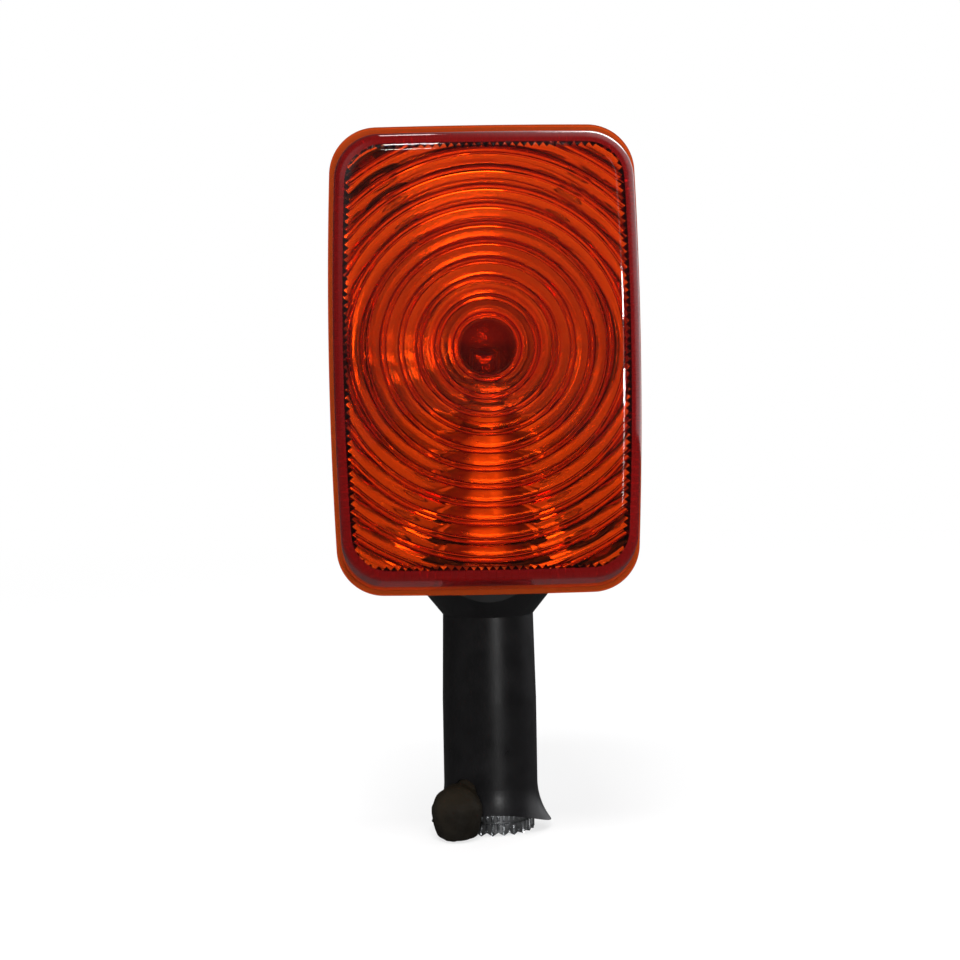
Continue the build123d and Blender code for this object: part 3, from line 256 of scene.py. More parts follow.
def deselect_all():
    """Leaves nothing selected and object mode on."""
    if bpy.context.object and bpy.context.object.mode != "OBJECT":
        bpy.ops.object.mode_set(mode="OBJECT")
    bpy.ops.object.select_all(action="DESELECT")


def activate(piece):
    """Makes a piece the only selected and active object."""
    deselect_all()
    piece.select_set(True)
    bpy.context.view_layer.objects.active = piece


def apply_place(piece):
    """Moves a piece's place, turn and scale into its mesh."""
    activate(piece)
    bpy.ops.object.transform_apply(location=True, rotation=True, scale=True)
    return piece


def weld(piece, threshold=WIDE_WELD):
    """Joins what coincides in a piece and points its faces outwards."""
    activate(piece)
    bpy.ops.object.mode_set(mode="EDIT")
    bpy.ops.mesh.select_all(action="SELECT")
    bpy.ops.mesh.remove_doubles(threshold=threshold)
    bpy.ops.mesh.normals_make_consistent(inside=False)
    bpy.ops.object.mode_set(mode="OBJECT")


def settle(piece, angle):
    """Applies a piece's place, welds it and smooths its edges below an angle in degrees."""
    weld(apply_place(piece), WELD)
    bpy.ops.object.shade_smooth_by_angle(angle=math.radians(angle))


def give_material(piece, material):
    """Makes one material all that a piece has."""
    piece.data.materials.clear()
    piece.data.materials.append(material)


def finish_piece(piece, node, material=None):
    """Puts a finished piece on the body of the node that it stands for."""
    if material:
        give_material(piece, material)
    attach(piece, BODY_OF[node])
    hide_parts(node)


def apply_modifier(piece, kind, **settings):
    """Adds a modifier of one kind to a piece and applies it."""
    modifier = piece.modifiers.new(kind.title(), kind)
    for key, value in settings.items():
        setattr(modifier, key, value)
    activate(piece)
    bpy.ops.object.modifier_apply(modifier=modifier.name)


def carve(piece, tool, operation="DIFFERENCE"):
    """Cuts a closed tool out of a piece, or adds it, and deletes the tool."""
    apply_modifier(piece, "BOOLEAN", object=tool, operation=operation, solver="EXACT")
    bpy.data.objects.remove(tool)


class HeadOutline:
    """A rounded rectangle whose sides bow outwards, walked by share of its length."""

    def __init__(self, half_width, half_height, side_bow, end_bow, corner):
        corner_x = half_width - side_bow
        corner_y = half_height - end_bow
        self.side_radius = (corner_y**2 + side_bow**2) / (2 * side_bow)
        self.end_radius = (corner_x**2 + end_bow**2) / (2 * end_bow)
        self.side_centre = Vector((half_width - self.side_radius, 0))
        self.end_centre = Vector((0, half_height - self.end_radius))
        self.corner = corner
        reach_a = self.side_radius - corner
        reach_b = self.end_radius - corner
        line = self.end_centre - self.side_centre
        apart = line.length
        along = (reach_a**2 - reach_b**2 + apart**2) / (2 * apart)
        off = math.sqrt(reach_a**2 - along**2)
        unit = line / apart
        foot = self.side_centre + unit * along
        across = Vector((unit.y, -unit.x)) * off
        self.corner_centre = foot + across
        if self.corner_centre.x < 0:
            self.corner_centre = foot - across
        self.side_turn = self.heading(self.side_centre)
        self.end_turn = self.heading(self.end_centre)
        self.side_length = self.side_radius * self.side_turn
        self.corner_length = corner * (self.end_turn - self.side_turn)
        self.end_length = self.end_radius * (math.pi / 2 - self.end_turn)
        self.quarter = self.side_length + self.corner_length + self.end_length

    def heading(self, centre):
        """The angle of the corner's centre, seen from the centre of a side's arc."""
        towards = self.corner_centre - centre
        return math.atan2(towards.y, towards.x)

    def quarter_place(self, distance):
        """A place in the upper right quarter, with the direction that faces outwards there."""
        if distance <= self.side_length:
            turn = distance / self.side_radius
            centre, radius = self.side_centre, self.side_radius
        elif distance <= self.side_length + self.corner_length:
            turn = self.side_turn + (distance - self.side_length) / self.corner
            centre, radius = self.corner_centre, self.corner
        else:
            past_corner = distance - self.side_length - self.corner_length
            turn = self.end_turn + past_corner / self.end_radius
            centre, radius = self.end_centre, self.end_radius
        outwards = Vector((math.cos(turn), math.sin(turn)))
        return centre + outwards * radius, outwards

    def place(self, share):
        """A place and its outward direction, anticlockwise from the middle of the right side."""
        quarters = share * 4
        index = int(quarters) % 4
        part = (quarters - int(quarters)) * self.quarter
        spot, outwards = self.quarter_place(part if index % 2 == 0 else self.quarter - part)
        flip = Vector((1 if index in (0, 3) else -1, 1 if index in (0, 1) else -1))
        return spot * flip, outwards * flip


def head_loop(outline, depth, count, flute=0.0):
    """Places along an outline across the head at one depth; a flute crests at every fourth."""
    places = []
    for step in range(count):
        spot, outwards = outline.place(step / count)
        wave = (1 - math.cos(math.pi * step / 2)) / 2 if flute else 0.0
        spot = spot + outwards * flute * wave
        places.append(Vector((spot.x, depth, HEAD_CENTRE_Z + spot.y)))
    return places


def loft_loops(name, loops):
    """A closed skin over loops of equally many places: a circle is extruded from loop to loop."""
    deselect_all()
    count = len(loops[0])
    bpy.ops.mesh.primitive_circle_add(vertices=count, radius=10 * MM)
    piece = bpy.context.object
    piece.name = name
    vertices = piece.data.vertices
    for vertex, place in zip(vertices, loops[0]):
        vertex.co = place
    for loop in loops[1:]:
        bpy.ops.object.mode_set(mode="EDIT")
        bpy.ops.mesh.extrude_edges_move()
        bpy.ops.object.mode_set(mode="OBJECT")
        vertices = piece.data.vertices
        for vertex, place in zip(vertices[-count:], loop):
            vertex.co = place
    for ring in (range(count), range(len(vertices) - count, len(vertices))):
        select_vertices(piece, ring)
        bpy.ops.mesh.edge_face_add()
    bpy.ops.object.mode_set(mode="OBJECT")
    weld(piece)
    return piece


def select_vertices(piece, chosen):
    """Selects vertices of a piece by their numbers and leaves edit mode on."""
    activate(piece)
    bpy.ops.object.mode_set(mode="EDIT")
    bpy.ops.mesh.select_mode(type="VERT")
    bpy.ops.mesh.select_all(action="DESELECT")
    bpy.ops.object.mode_set(mode="OBJECT")
    for index in chosen:
        piece.data.vertices[index].select = True
    bpy.ops.object.mode_set(mode="EDIT")


def turned(name, profile, steps):
    """A skin turned round Z: a ring is extruded and scaled along its (radius, height) profile."""
    deselect_all()
    radius, height = profile[0]
    bpy.ops.mesh.primitive_circle_add(vertices=steps, radius=radius, location=(0, 0, height))
    piece = bpy.context.object
    piece.name = name
    apply_place(piece)
    bpy.ops.object.mode_set(mode="EDIT")
    bpy.ops.mesh.select_all(action="SELECT")
    for (radius, height), (next_radius, next_height) in zip(profile, profile[1:]):
        bpy.ops.mesh.extrude_edges_move()
        bpy.ops.transform.translate(value=(0, 0, next_height - height))
        share = next_radius / radius
        bpy.ops.transform.resize(
            value=(share, share, 1), center_override=(0, 0, next_height))
    bpy.ops.object.mode_set(mode="OBJECT")
    return piece


def round_bar(start, end, radius, steps):
    """A round bar between two places."""
    along = end - start
    deselect_all()
    bpy.ops.mesh.primitive_cylinder_add(
        vertices=steps, radius=radius, depth=along.length, location=(start + end) / 2)
    bar = bpy.context.object
    bar.rotation_mode = "QUATERNION"
    bar.rotation_quaternion = along.to_track_quat("Z", "Y")
    return apply_place(bar)


class NodeTree:
    """The nodes of a material, a world or a group, with short ways to add to them."""

    def __init__(self, tree):
        self.tree = tree
        self.nodes = tree.nodes

    def feed(self, socket, value):
        """Links another node's output to a socket, or sets the socket's own value."""
        if isinstance(value, bpy.types.NodeSocket):
            self.tree.links.new(value, socket)
        elif socket.type == "RGBA":
            socket.default_value = (*value, 1)
        else:
            socket.default_value = value

    def add(self, kind, inputs=None, **settings):
        """Adds a node with its settings and feeds its inputs."""
        node = self.nodes.new(kind)
        for key, value in settings.items():
            setattr(node, key, value)
        for key, value in (inputs or {}).items():
            self.feed(node.inputs[key], value)
        return node

    def coordinates(self, kind="Object"):
        """Where a surface or a ray is, as a vector."""
        return self.add("ShaderNodeTexCoord").outputs[kind]

    def parts(self, vector):
        """The X, Y and Z of a vector."""
        return self.add("ShaderNodeSeparateXYZ", {"Vector": vector}).outputs

    def maths(self, operation, first, second, **settings):
        """What a calculation makes of two values."""
        node = self.add("ShaderNodeMath", {0: first, 1: second}, operation=operation, **settings)
        return node.outputs["Value"]

    def remap(self, value, low, high, to_low=0.0, to_high=1.0, **settings):
        """A value moved from one range to another."""
        node = self.add("ShaderNodeMapRange", {
            "Value": value, "From Min": low, "From Max": high, "To Min": to_low, "To Max": to_high,
        }, **settings)
        return node.outputs["Result"]

    def blend(self, share, first, second):
        """One colour that turns into another as a share grows."""
        node = self.add("ShaderNodeMix", data_type="RGBA")
        for key, value in (("Factor", share), (6, first), (7, second)):
            self.feed(node.inputs[key], value)
        return node.outputs[2]

    def ramp(self, value, low, high, first, second):
        """One colour that turns softly into another between two values."""
        share = self.remap(value, low, high, interpolation_type="SMOOTHSTEP")
        return self.blend(share, first, second)


def node_material(name):
    """A new material with its node tree and its shader."""
    material = bpy.data.materials.new(name)
    material.use_nodes = True
    tree = NodeTree(material.node_tree)
    return material, tree, tree.nodes["Principled BSDF"]


def amber_face(tree, looks, sizes):
    """Tint and roughness of the face: painted shade in brown on the plain disc, and frost on the
    inside.
    """
    place = tree.parts(tree.coordinates())
    flat = tree.add("ShaderNodeCombineXYZ", {"X": place["X"], "Z": place["Z"]})
    away = tree.add(
        "ShaderNodeVectorMath", {0: flat.outputs["Vector"], 1: (0, 0, OPTIC_Z)},
        operation="DISTANCE")
    off_disc = tree.remap(
        away.outputs["Value"], sizes.disc_radius - DISC_BLEND, sizes.disc_radius)
    inside = LENS_LOW.y + sizes.wall / 2
    roughness = tree.remap(place["Y"], inside, inside + FROST_BLEND, POLISH, looks.frost)
    # the plain disc gets painted shade, a darker brown than the amber
    return tree.blend(off_disc, looks.disc_brown, looks.amber), roughness


def amber_wall(tree, looks, sizes):
    """Tint and roughness of a wall: redder at a slant and at the thick front edge."""
    place = tree.parts(tree.coordinates())
    edge = LENS_LOW.y + sizes.front_fillet + EDGE_START
    at_edge = tree.remap(place["Y"], edge, edge + EDGE_BLEND, 1.0, 0.0)
    slant = tree.add("ShaderNodeLayerWeight", {"Blend": 0.5}).outputs["Facing"]
    redder = tree.maths("MAXIMUM", tree.remap(slant, SQUARELY, SLANTED), at_edge)
    return tree.blend(redder, looks.wall_amber, looks.wall_red), WALL_GLOSS


def amber_material(name):
    """Clear amber moulding that deepens to red with the thickness seen through."""
    material, tree, shader = node_material(name)
    scene = bpy.context.scene
    surface, transmission, specular = {
        "amber_face": (amber_face, 1.0, 0.5),
        "amber_wall": (amber_wall, 0.62, 0.25),
    }[name]
    colour, roughness = surface(tree, scene.turn_signal_finishes, scene.turn_signal_lens)
    add_grain(tree, shader, Finish(
        colour, 0.0, 0.04, roughness, 0.02, 160.0, 0.02, EVEN, specular))
    shader.inputs["IOR"].default_value = AMBER_INDEX
    shader.inputs["Transmission Weight"].default_value = transmission
    depth = tree.add("ShaderNodeVolumeAbsorption", {
        "Color": scene.turn_signal_finishes.amber_depth, "Density": AMBER_DENSITY,
    })
    tree.feed(tree.nodes["Material Output"].inputs["Volume"], depth.outputs["Volume"])
    return material


def grain_group():
    """The shared unevenness of a surface: its colour, roughness and normal vary with two noises."""
    group = bpy.data.node_groups.get("surface_grain")
    if group:
        return group
    group = bpy.data.node_groups.new("surface_grain", "ShaderNodeTree")
    number, vector, colour = "NodeSocketFloat", "NodeSocketVector", "NodeSocketColor"
    for direction, sockets in (
        ("INPUT", (
            ("Colour", colour), ("Shade", number), ("Roughness", number), ("Spread", number),
            ("Scale", number), ("Depth", number), ("Stretch", vector),
        )),
        ("OUTPUT", (("Colour", colour), ("Roughness", number), ("Normal", vector))),
    ):
        for name, kind in sockets:
            group.interface.new_socket(name, in_out=direction, socket_type=kind)
    tree = NodeTree(group)
    given = tree.add("NodeGroupInput").outputs
    place = tree.coordinates()
    stretched = tree.add(
        "ShaderNodeVectorMath", {0: place, 1: given["Stretch"]}, operation="MULTIPLY")
    fine = tree.add("ShaderNodeTexNoise", {
        "Vector": stretched.outputs["Vector"], "Scale": given["Scale"], "Detail": 5.0,
    })
    coarse = tree.add("ShaderNodeTexNoise", {
        "Vector": place, "Scale": tree.maths("MULTIPLY", given["Scale"], COARSE_GRAIN),
        "Detail": 3.0,
    })

    def swing(amount):
        """The broad noise as a change either way of up to an amount."""
        change = tree.remap(coarse.outputs["Fac"], 0.3, 0.7, -1.0, 1.0, clamp=False)
        return tree.maths("MULTIPLY", change, given[amount])

    shade = tree.maths("ADD", swing("Shade"), 1.0)
    shaded = tree.add(
        "ShaderNodeVectorMath", {0: given["Colour"], "Scale": shade}, operation="SCALE")
    rough = tree.maths("ADD", swing("Spread"), given["Roughness"], use_clamp=True)
    bump = tree.add("ShaderNodeBump", {
        "Distance": BUMP_HEIGHT, "Strength": given["Depth"], "Height": fine.outputs["Fac"],
    })
    tree.add("NodeGroupOutput", {
        "Colour": shaded.outputs["Vector"], "Roughness": rough, "Normal": bump.outputs["Normal"],
    })
    return group


def add_grain(tree, shader, look):
    """Feeds a shader's colour, roughness and normal from the shared grain."""
    grain = tree.nodes.new("ShaderNodeGroup")
    grain.node_tree = grain_group()
    for name, value in (
        ("Colour", look.colour), ("Shade", look.shade), ("Roughness", look.roughness),
        ("Spread", look.spread), ("Scale", look.scale), ("Depth", look.depth),
        ("Stretch", look.stretch),
    ):
        tree.feed(grain.inputs[name], value)
    tree.feed(shader.inputs["Base Color"], grain.outputs["Colour"])
    tree.feed(shader.inputs["Roughness"], grain.outputs["Roughness"])
    tree.feed(shader.inputs["Normal"], grain.outputs["Normal"])
    shader.inputs["Metallic"].default_value = look.metallic
    shader.inputs["Specular IOR Level"].default_value = look.specular


def finish(name):
    """The material of one of the slots, built the first time that it is asked for."""
    surface = name + "_surface"
    if surface in bpy.data.materials:
        return bpy.data.materials[surface]
    look = FINISHES[name]
    if isinstance(look.colour, str):
        setting = getattr(bpy.context.scene.turn_signal_finishes, look.colour)
        look = look._replace(colour=setting)
    material, tree, shader = node_material(surface)
    add_grain(tree, shader, look)
    return material


def dress(*names):
    """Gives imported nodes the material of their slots."""
    for name in names:
        give_material(frame["nodes"][name], finish(SLOT_OF[name]))


def give_lens_finishes(piece):
    """Clear amber for the face and the whole inside, and redder amber for the walls' outside."""
    for name in ("amber_face", "amber_wall"):
        piece.data.materials.append(bpy.data.materials.get(name) or amber_material(name))


def boss_tool(place, radius, depth):
    """A bar on the axis of a lens screw, from behind the rim into the lens."""
    low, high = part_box("lens_screw_" + place)
    x, z = (low.x + high.x) / 2, (low.z + high.z) / 2
    behind, end = Vector((x, LENS_HIGH.y + OVERSHOOT, z)), Vector((x, LENS_HIGH.y - depth, z))
    return round_bar(behind, end, radius, BOSS_STEPS)


class TURNSIGNAL_OT_lens(bpy.types.Operator):
    """Lens: a drafted cap with a rim bead, fluted inside its walls and ringed inside its face"""

    bl_idname = "turn_signal.lens"
    bl_label = "Lens"

    def execute(self, context):
        sizes = context.scene.turn_signal_lens
        lens = self.cap(sizes)
        carve(lens, self.cavity(sizes))
        for place in ("upper", "lower"):
            carve(lens, boss_tool(place, sizes.screw_bore, sizes.boss_length - sizes.boss_floor))
        settle(lens, angle=32)
        finish_piece(lens, "lens")
        return {"FINISHED"}

    def half_size(self, sizes, from_rim, inset):
        """Half width and height of the walls at a way forward from the rim."""
        half = (LENS_HIGH - LENS_LOW) / 2
        share = from_rim / (LENS_HIGH.y - LENS_LOW.y)
        half_x = half.x - sizes.bead_width - sizes.side_draft * share
        half_z = half.z - sizes.bead_width - sizes.end_draft * share
        return half_x - inset, half_z - inset

    def outline(self, sizes, from_rim, inset, corner):
        """The walls' outline at a way forward from the rim, drawn in by an inset."""
        half = self.half_size(sizes, from_rim, inset)
        return HeadOutline(*half, sizes.side_bow, sizes.end_bow, corner)

    def cap(self, sizes):
        """The lens's outside as a solid block, its face and its walls in their own materials."""
        depth = LENS_HIGH.y - LENS_LOW.y
        bead_y = LENS_HIGH.y - sizes.bead_height
        corner = sizes.rim_corner
        bead = self.outline(sizes, 0, -sizes.bead_width, corner + sizes.bead_width)
        wall = self.outline(sizes, sizes.bead_height, 0, corner)
        loops = [
            head_loop(bead, LENS_HIGH.y, OUTLINE_STEPS),
            head_loop(bead, bead_y, OUTLINE_STEPS),
            head_loop(wall, bead_y, OUTLINE_STEPS),
        ]
        for step in range(FILLET_STEPS + 1):
            turn = math.pi / 2 * step / FILLET_STEPS
            inset = sizes.front_fillet * (1 - math.cos(turn))
            from_face = sizes.front_fillet * (1 - math.sin(turn))
            edge = self.outline(sizes, depth - from_face, inset, corner - inset)
            loops.append(head_loop(edge, LENS_LOW.y + from_face, OUTLINE_STEPS))
        lens = loft_loops("lens_moulding", loops)
        give_lens_finishes(lens)
        for face in lens.data.polygons:
            in_front = face.center.y < LENS_LOW.y + sizes.front_fillet
            face.material_index = 0 if in_front and face.normal.y < TO_THE_FRONT else 1
        return lens

    def cavity(self, sizes):
        """The space inside the lens: a fluted block with the rings and bosses cut from it."""
        face_y = LENS_LOW.y + sizes.wall
        rim = self.outline(sizes, 0, sizes.wall, sizes.rim_corner - sizes.wall)
        front = self.outline(
            sizes, LENS_HIGH.y - face_y, sizes.front_wall, sizes.front_corner)
        way_round = 4 * sum(self.half_size(sizes, 0, sizes.wall))
        count = 4 * round(way_round / sizes.flute_pitch)
        tool = loft_loops("lens_cavity", [
            head_loop(rim, LENS_HIGH.y + OVERSHOOT, count, sizes.flute_depth),
            head_loop(rim, LENS_HIGH.y, count, sizes.flute_depth),
            head_loop(front, face_y, count, sizes.flute_depth),
        ])
        give_lens_finishes(tool)
        carve(tool, self.rings(sizes, face_y))
        middle = Vector((0, face_y, OPTIC_Z))
        reach = Vector((0, sizes.disc_height, 0))
        carve(tool, round_bar(
            middle + reach, middle - reach, sizes.disc_radius - DISC_EDGE, DISC_STEPS))
        for place in ("upper", "lower"):
            carve(tool, boss_tool(place, sizes.boss_radius, sizes.boss_length))
        return tool

    def rings(self, sizes, face_y):
        """The optic rings as one turned piece, with a root that reaches into the face."""
        profile = [(sizes.disc_radius, -RING_ROOT), (sizes.disc_radius, 0.0)]
        for ring in range(sizes.ring_count):
            start = sizes.disc_radius + ring * sizes.ring_pitch
            for across, height in RING_RIDGE + RING_BAND:
                profile.append((start + across * MM, height * sizes.ring_height))
            profile.append((start + sizes.ring_pitch, 0.0))
        profile += [(profile[-1][0], -RING_ROOT), (sizes.disc_radius, -RING_ROOT)]
        tool = turned("optic_rings", profile, RING_STEPS)
        weld(tool)
        tool.rotation_euler = (-math.pi / 2, 0, 0)
        tool.location = (0, face_y, OPTIC_Z)
        return apply_place(tool)


class TURNSIGNAL_OT_body(bpy.types.Operator):
    """Rear housing, both parts of the stem and the gasket: black mouldings and rubber"""

    bl_idname = "turn_signal.body"
    bl_label = "Housing and stem"

    def execute(self, context):
        dress("rear_housing", "stem_upper", "stem_foot", "lens_gasket")
        return {"FINISHED"}


class TURNSIGNAL_OT_insert(bpy.types.Operator):
    """Threaded insert: a bored barrel on a ring that is knurled outside and serrated below"""

    bl_idname = "turn_signal.insert"
    bl_label = "Threaded insert"

    def execute(self, context):
        sizes = context.scene.turn_signal_foot
        bore, barrel, top = sizes.bore_radius, sizes.barrel_radius, sizes.ring_height
        outer = (RING_HIGH.x - RING_LOW.x) / 2
        groove, neck = outer - 0.4 * MM, barrel - 0.6 * MM
        chamfer, slope = 0.25 * MM, 0.1 * MM
        groove_low, groove_high = 2.35 * MM, 2.75 * MM
        neck_low, neck_high = top + 0.9 * MM, top + 1.9 * MM
        profile = [
            (bore, sizes.tooth_depth), (bore + 0.9 * MM, 0.0), (outer, 0.0),
            (outer, 0.95 * MM), (outer, groove_low), (groove, groove_low + slope),
            (groove, groove_high), (outer, groove_high + slope), (outer, top - chamfer),
            (outer - chamfer, top), (barrel, top), (barrel, neck_low),
            (neck, neck_low), (neck, neck_high),
            (barrel, neck_high), (barrel, RING_HIGH.z), (bore, RING_HIGH.z),
            (bore, sizes.tooth_depth),
        ]
        columns = sizes.tooth_count * TOOTH_STEPS
        insert = turned("ring_insert", profile, columns)
        for part in range(1, TOOTH_STEPS // 2 + 1):
            rise = sizes.tooth_depth * 2 * part / TOOTH_STEPS
            self.select(insert, columns, (1, 2), {part, TOOTH_STEPS - part}, TOOTH_STEPS)
            bpy.ops.transform.translate(value=(0, 0, rise))
        for knurled_rings in ((3, 4), (7, 8)):
            self.select(insert, columns, knurled_rings, {0}, TOOTH_STEPS // 2)
            bpy.ops.transform.resize(value=(KNURL, KNURL, 1), center_override=(0, 0, 0))
        settle(insert, angle=25)
        finish_piece(insert, "threaded_insert", finish("bright_steel"))
        return {"FINISHED"}

    def select(self, piece, columns, rings, offsets, step):
        """Selects the vertices of some rings whose column has one of the offsets."""
        select_vertices(piece, [
            index for index in range(len(piece.data.vertices))
            if index // columns in rings and index % columns % step in offsets
        ])


class TURNSIGNAL_OT_boot(bpy.types.Operator):
    """Rubber boot: a lumpy elbow whose neck enters the foot, bored for the leads"""

    bl_idname = "turn_signal.boot"
    bl_label = "Rubber boot"

    def execute(self, context):
        sizes = context.scene.turn_signal_foot
        heading = math.radians(sizes.boot_heading)
        plan = Vector((-math.sin(heading), -math.cos(heading), 0))
        start = Vector((0, 0, sizes.outlet_start))
        elbow = start + plan * sizes.outlet_reach - Vector((0, 0, sizes.outlet_drop))
        along = (elbow - start).normalized()
        neck_end = start + along * sizes.neck_start
        boot = turned("boot_elbow", [(r * MM, z * MM) for r, z in BOOT_PROFILE], BOOT_STEPS)
        self.close_ends(boot)
        boot.location = (elbow.x, elbow.y, 0)
        apply_place(boot)
        carve(boot, round_bar(neck_end, elbow, sizes.neck_radius, BAR_STEPS), "UNION")
        apply_modifier(boot, "REMESH", mode="VOXEL", voxel_size=0.24 * MM)
        apply_modifier(boot, "SMOOTH", factor=0.5, iterations=4)
        lumps = bpy.data.textures.new("boot_lumps", "CLOUDS")
        lumps.noise_scale = 2.6 * MM
        apply_modifier(
            boot, "DISPLACE", texture=lumps, texture_coords="LOCAL",
            strength=0.55 * MM, mid_level=0.62)
        below = Vector((elbow.x, elbow.y, -OVERSHOOT))
        above = elbow + Vector((0, 0, 0.8 * MM))
        for low, high in ((neck_end - along * OVERSHOOT, elbow), (below, above)):
            carve(boot, round_bar(low, high, sizes.boot_bore, BAR_STEPS))
        settle(boot, angle=40)
        finish_piece(boot, "wire_boot", finish("black_rubber"))
        return {"FINISHED"}

    def close_ends(self, piece):
        """Closes the small round openings at both ends of a turned piece."""
        activate(piece)
        bpy.ops.object.mode_set(mode="EDIT")
        bpy.ops.mesh.select_mode(type="EDGE")
        bpy.ops.mesh.select_all(action="DESELECT")
        bpy.ops.mesh.select_non_manifold()
        bpy.ops.mesh.edge_face_add()
        bpy.ops.mesh.select_all(action="SELECT")
        bpy.ops.mesh.normals_make_consistent(inside=False)
        bpy.ops.object.mode_set(mode="OBJECT")


class TURNSIGNAL_OT_reflector(bpy.types.Operator):
    """Reflector and its two screws"""

    bl_idname = "turn_signal.reflector"
    bl_label = "Reflector"

    def execute(self, context):
        dress("reflector", "reflector_screws")
        return {"FINISHED"}


class TURNSIGNAL_OT_holder(bpy.types.Operator):
    """Bulb holder with its bracket, rivets, screws, plunger, carrier, spring, terminal and disc"""

    bl_idname = "turn_signal.holder"
    bl_label = "Bulb holder"

    def execute(self, context):
        dress("bulb_holder", "holder_bracket", "holder_rivets", "bracket_screws")
        dress("contact_plunger", "contact_carrier", "contact_spring")
        dress("feed_terminal", "insulator_disc")
        return {"FINISHED"}


class TURNSIGNAL_OT_bulb(bpy.types.Operator):
    """Bulb: cap, base insulator, solder contact, envelope, pinch, supports and a coiled filament"""

    bl_idname = "turn_signal.bulb"
    bl_label = "Bulb"

    def execute(self, context):
        dress("bulb_cap", "bulb_base_insulator", "bulb_contact", "filament_supports")
        glass = self.glass()
        for name in ("bulb_glass", "bulb_pinch"):
            give_material(frame["nodes"][name], glass)
        self.filament()
        return {"FINISHED"}

    def glass(self):
        """Clear glass with a breath of unevenness in its gloss."""
        material, tree, shader = node_material("bulb_glass_surface")
        add_grain(tree, shader, Finish(
            GLASS_TINT, 0.0, 0.01, 0.012, 0.01, 120.0, 0.01, EVEN, 0.5))
        shader.inputs["Transmission Weight"].default_value = 1.0
        shader.inputs["IOR"].default_value = GLASS_INDEX
        return material

    def filament(self):
        """A fine coil that sags a little between the two supports."""
        low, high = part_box("bulb_filament")
        coil_radius, wire, turns, spots = 0.30 * MM, 0.075 * MM, 13, 12
        rod = 0.4 * MM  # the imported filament's radius
        sag = (high.z - low.z) - 2 * rod
        middle = Vector(((low.x + high.x) / 2, (low.y + high.y) / 2, high.z - rod))
        half = (high.x - low.x) / 2 - wire
        count = turns * spots + 1
        curve = bpy.data.curves.new("filament_coil", "CURVE")
        curve.dimensions = "3D"
        curve.bevel_depth = wire
        curve.bevel_resolution = 2
        curve.use_fill_caps = True
        spline = curve.splines.new("POLY")
        spline.points.add(count - 1)
        for index, point in enumerate(spline.points):
            share = 2 * index / (count - 1) - 1
            turn = 2 * math.pi * index / spots
            point.co = (
                middle.x + half * share,
                middle.y + coil_radius * math.cos(turn),
                middle.z - sag * (1 - share**2) + coil_radius * math.sin(turn),
                1,
            )
        coil = bpy.data.objects.new("filament_coil", curve)
        bpy.context.scene.collection.objects.link(coil)
        activate(coil)
        bpy.ops.object.convert(target="MESH")
        coil = bpy.context.object
        settle(coil, angle=60)
        finish_piece(coil, "bulb_filament", finish("filament_wire"))


class TURNSIGNAL_OT_leads(bpy.types.Operator):
    """Feed lead and earth lead"""

    bl_idname = "turn_signal.leads"
    bl_label = "Leads"

    def execute(self, context):
        dress("feed_lead", "earth_lead")
        return {"FINISHED"}


class TURNSIGNAL_OT_fasteners(bpy.types.Operator):
    """Lens screws with their washers, and the washer and locknut of the stem"""

    bl_idname = "turn_signal.fasteners"
    bl_label = "Screws, washers and nut"

    def execute(self, context):
        dress("lens_screw_upper", "lens_screw_lower")
        dress("screw_washer_upper", "screw_washer_lower", "stem_washer", "stem_locknut")
        return {"FINISHED"}


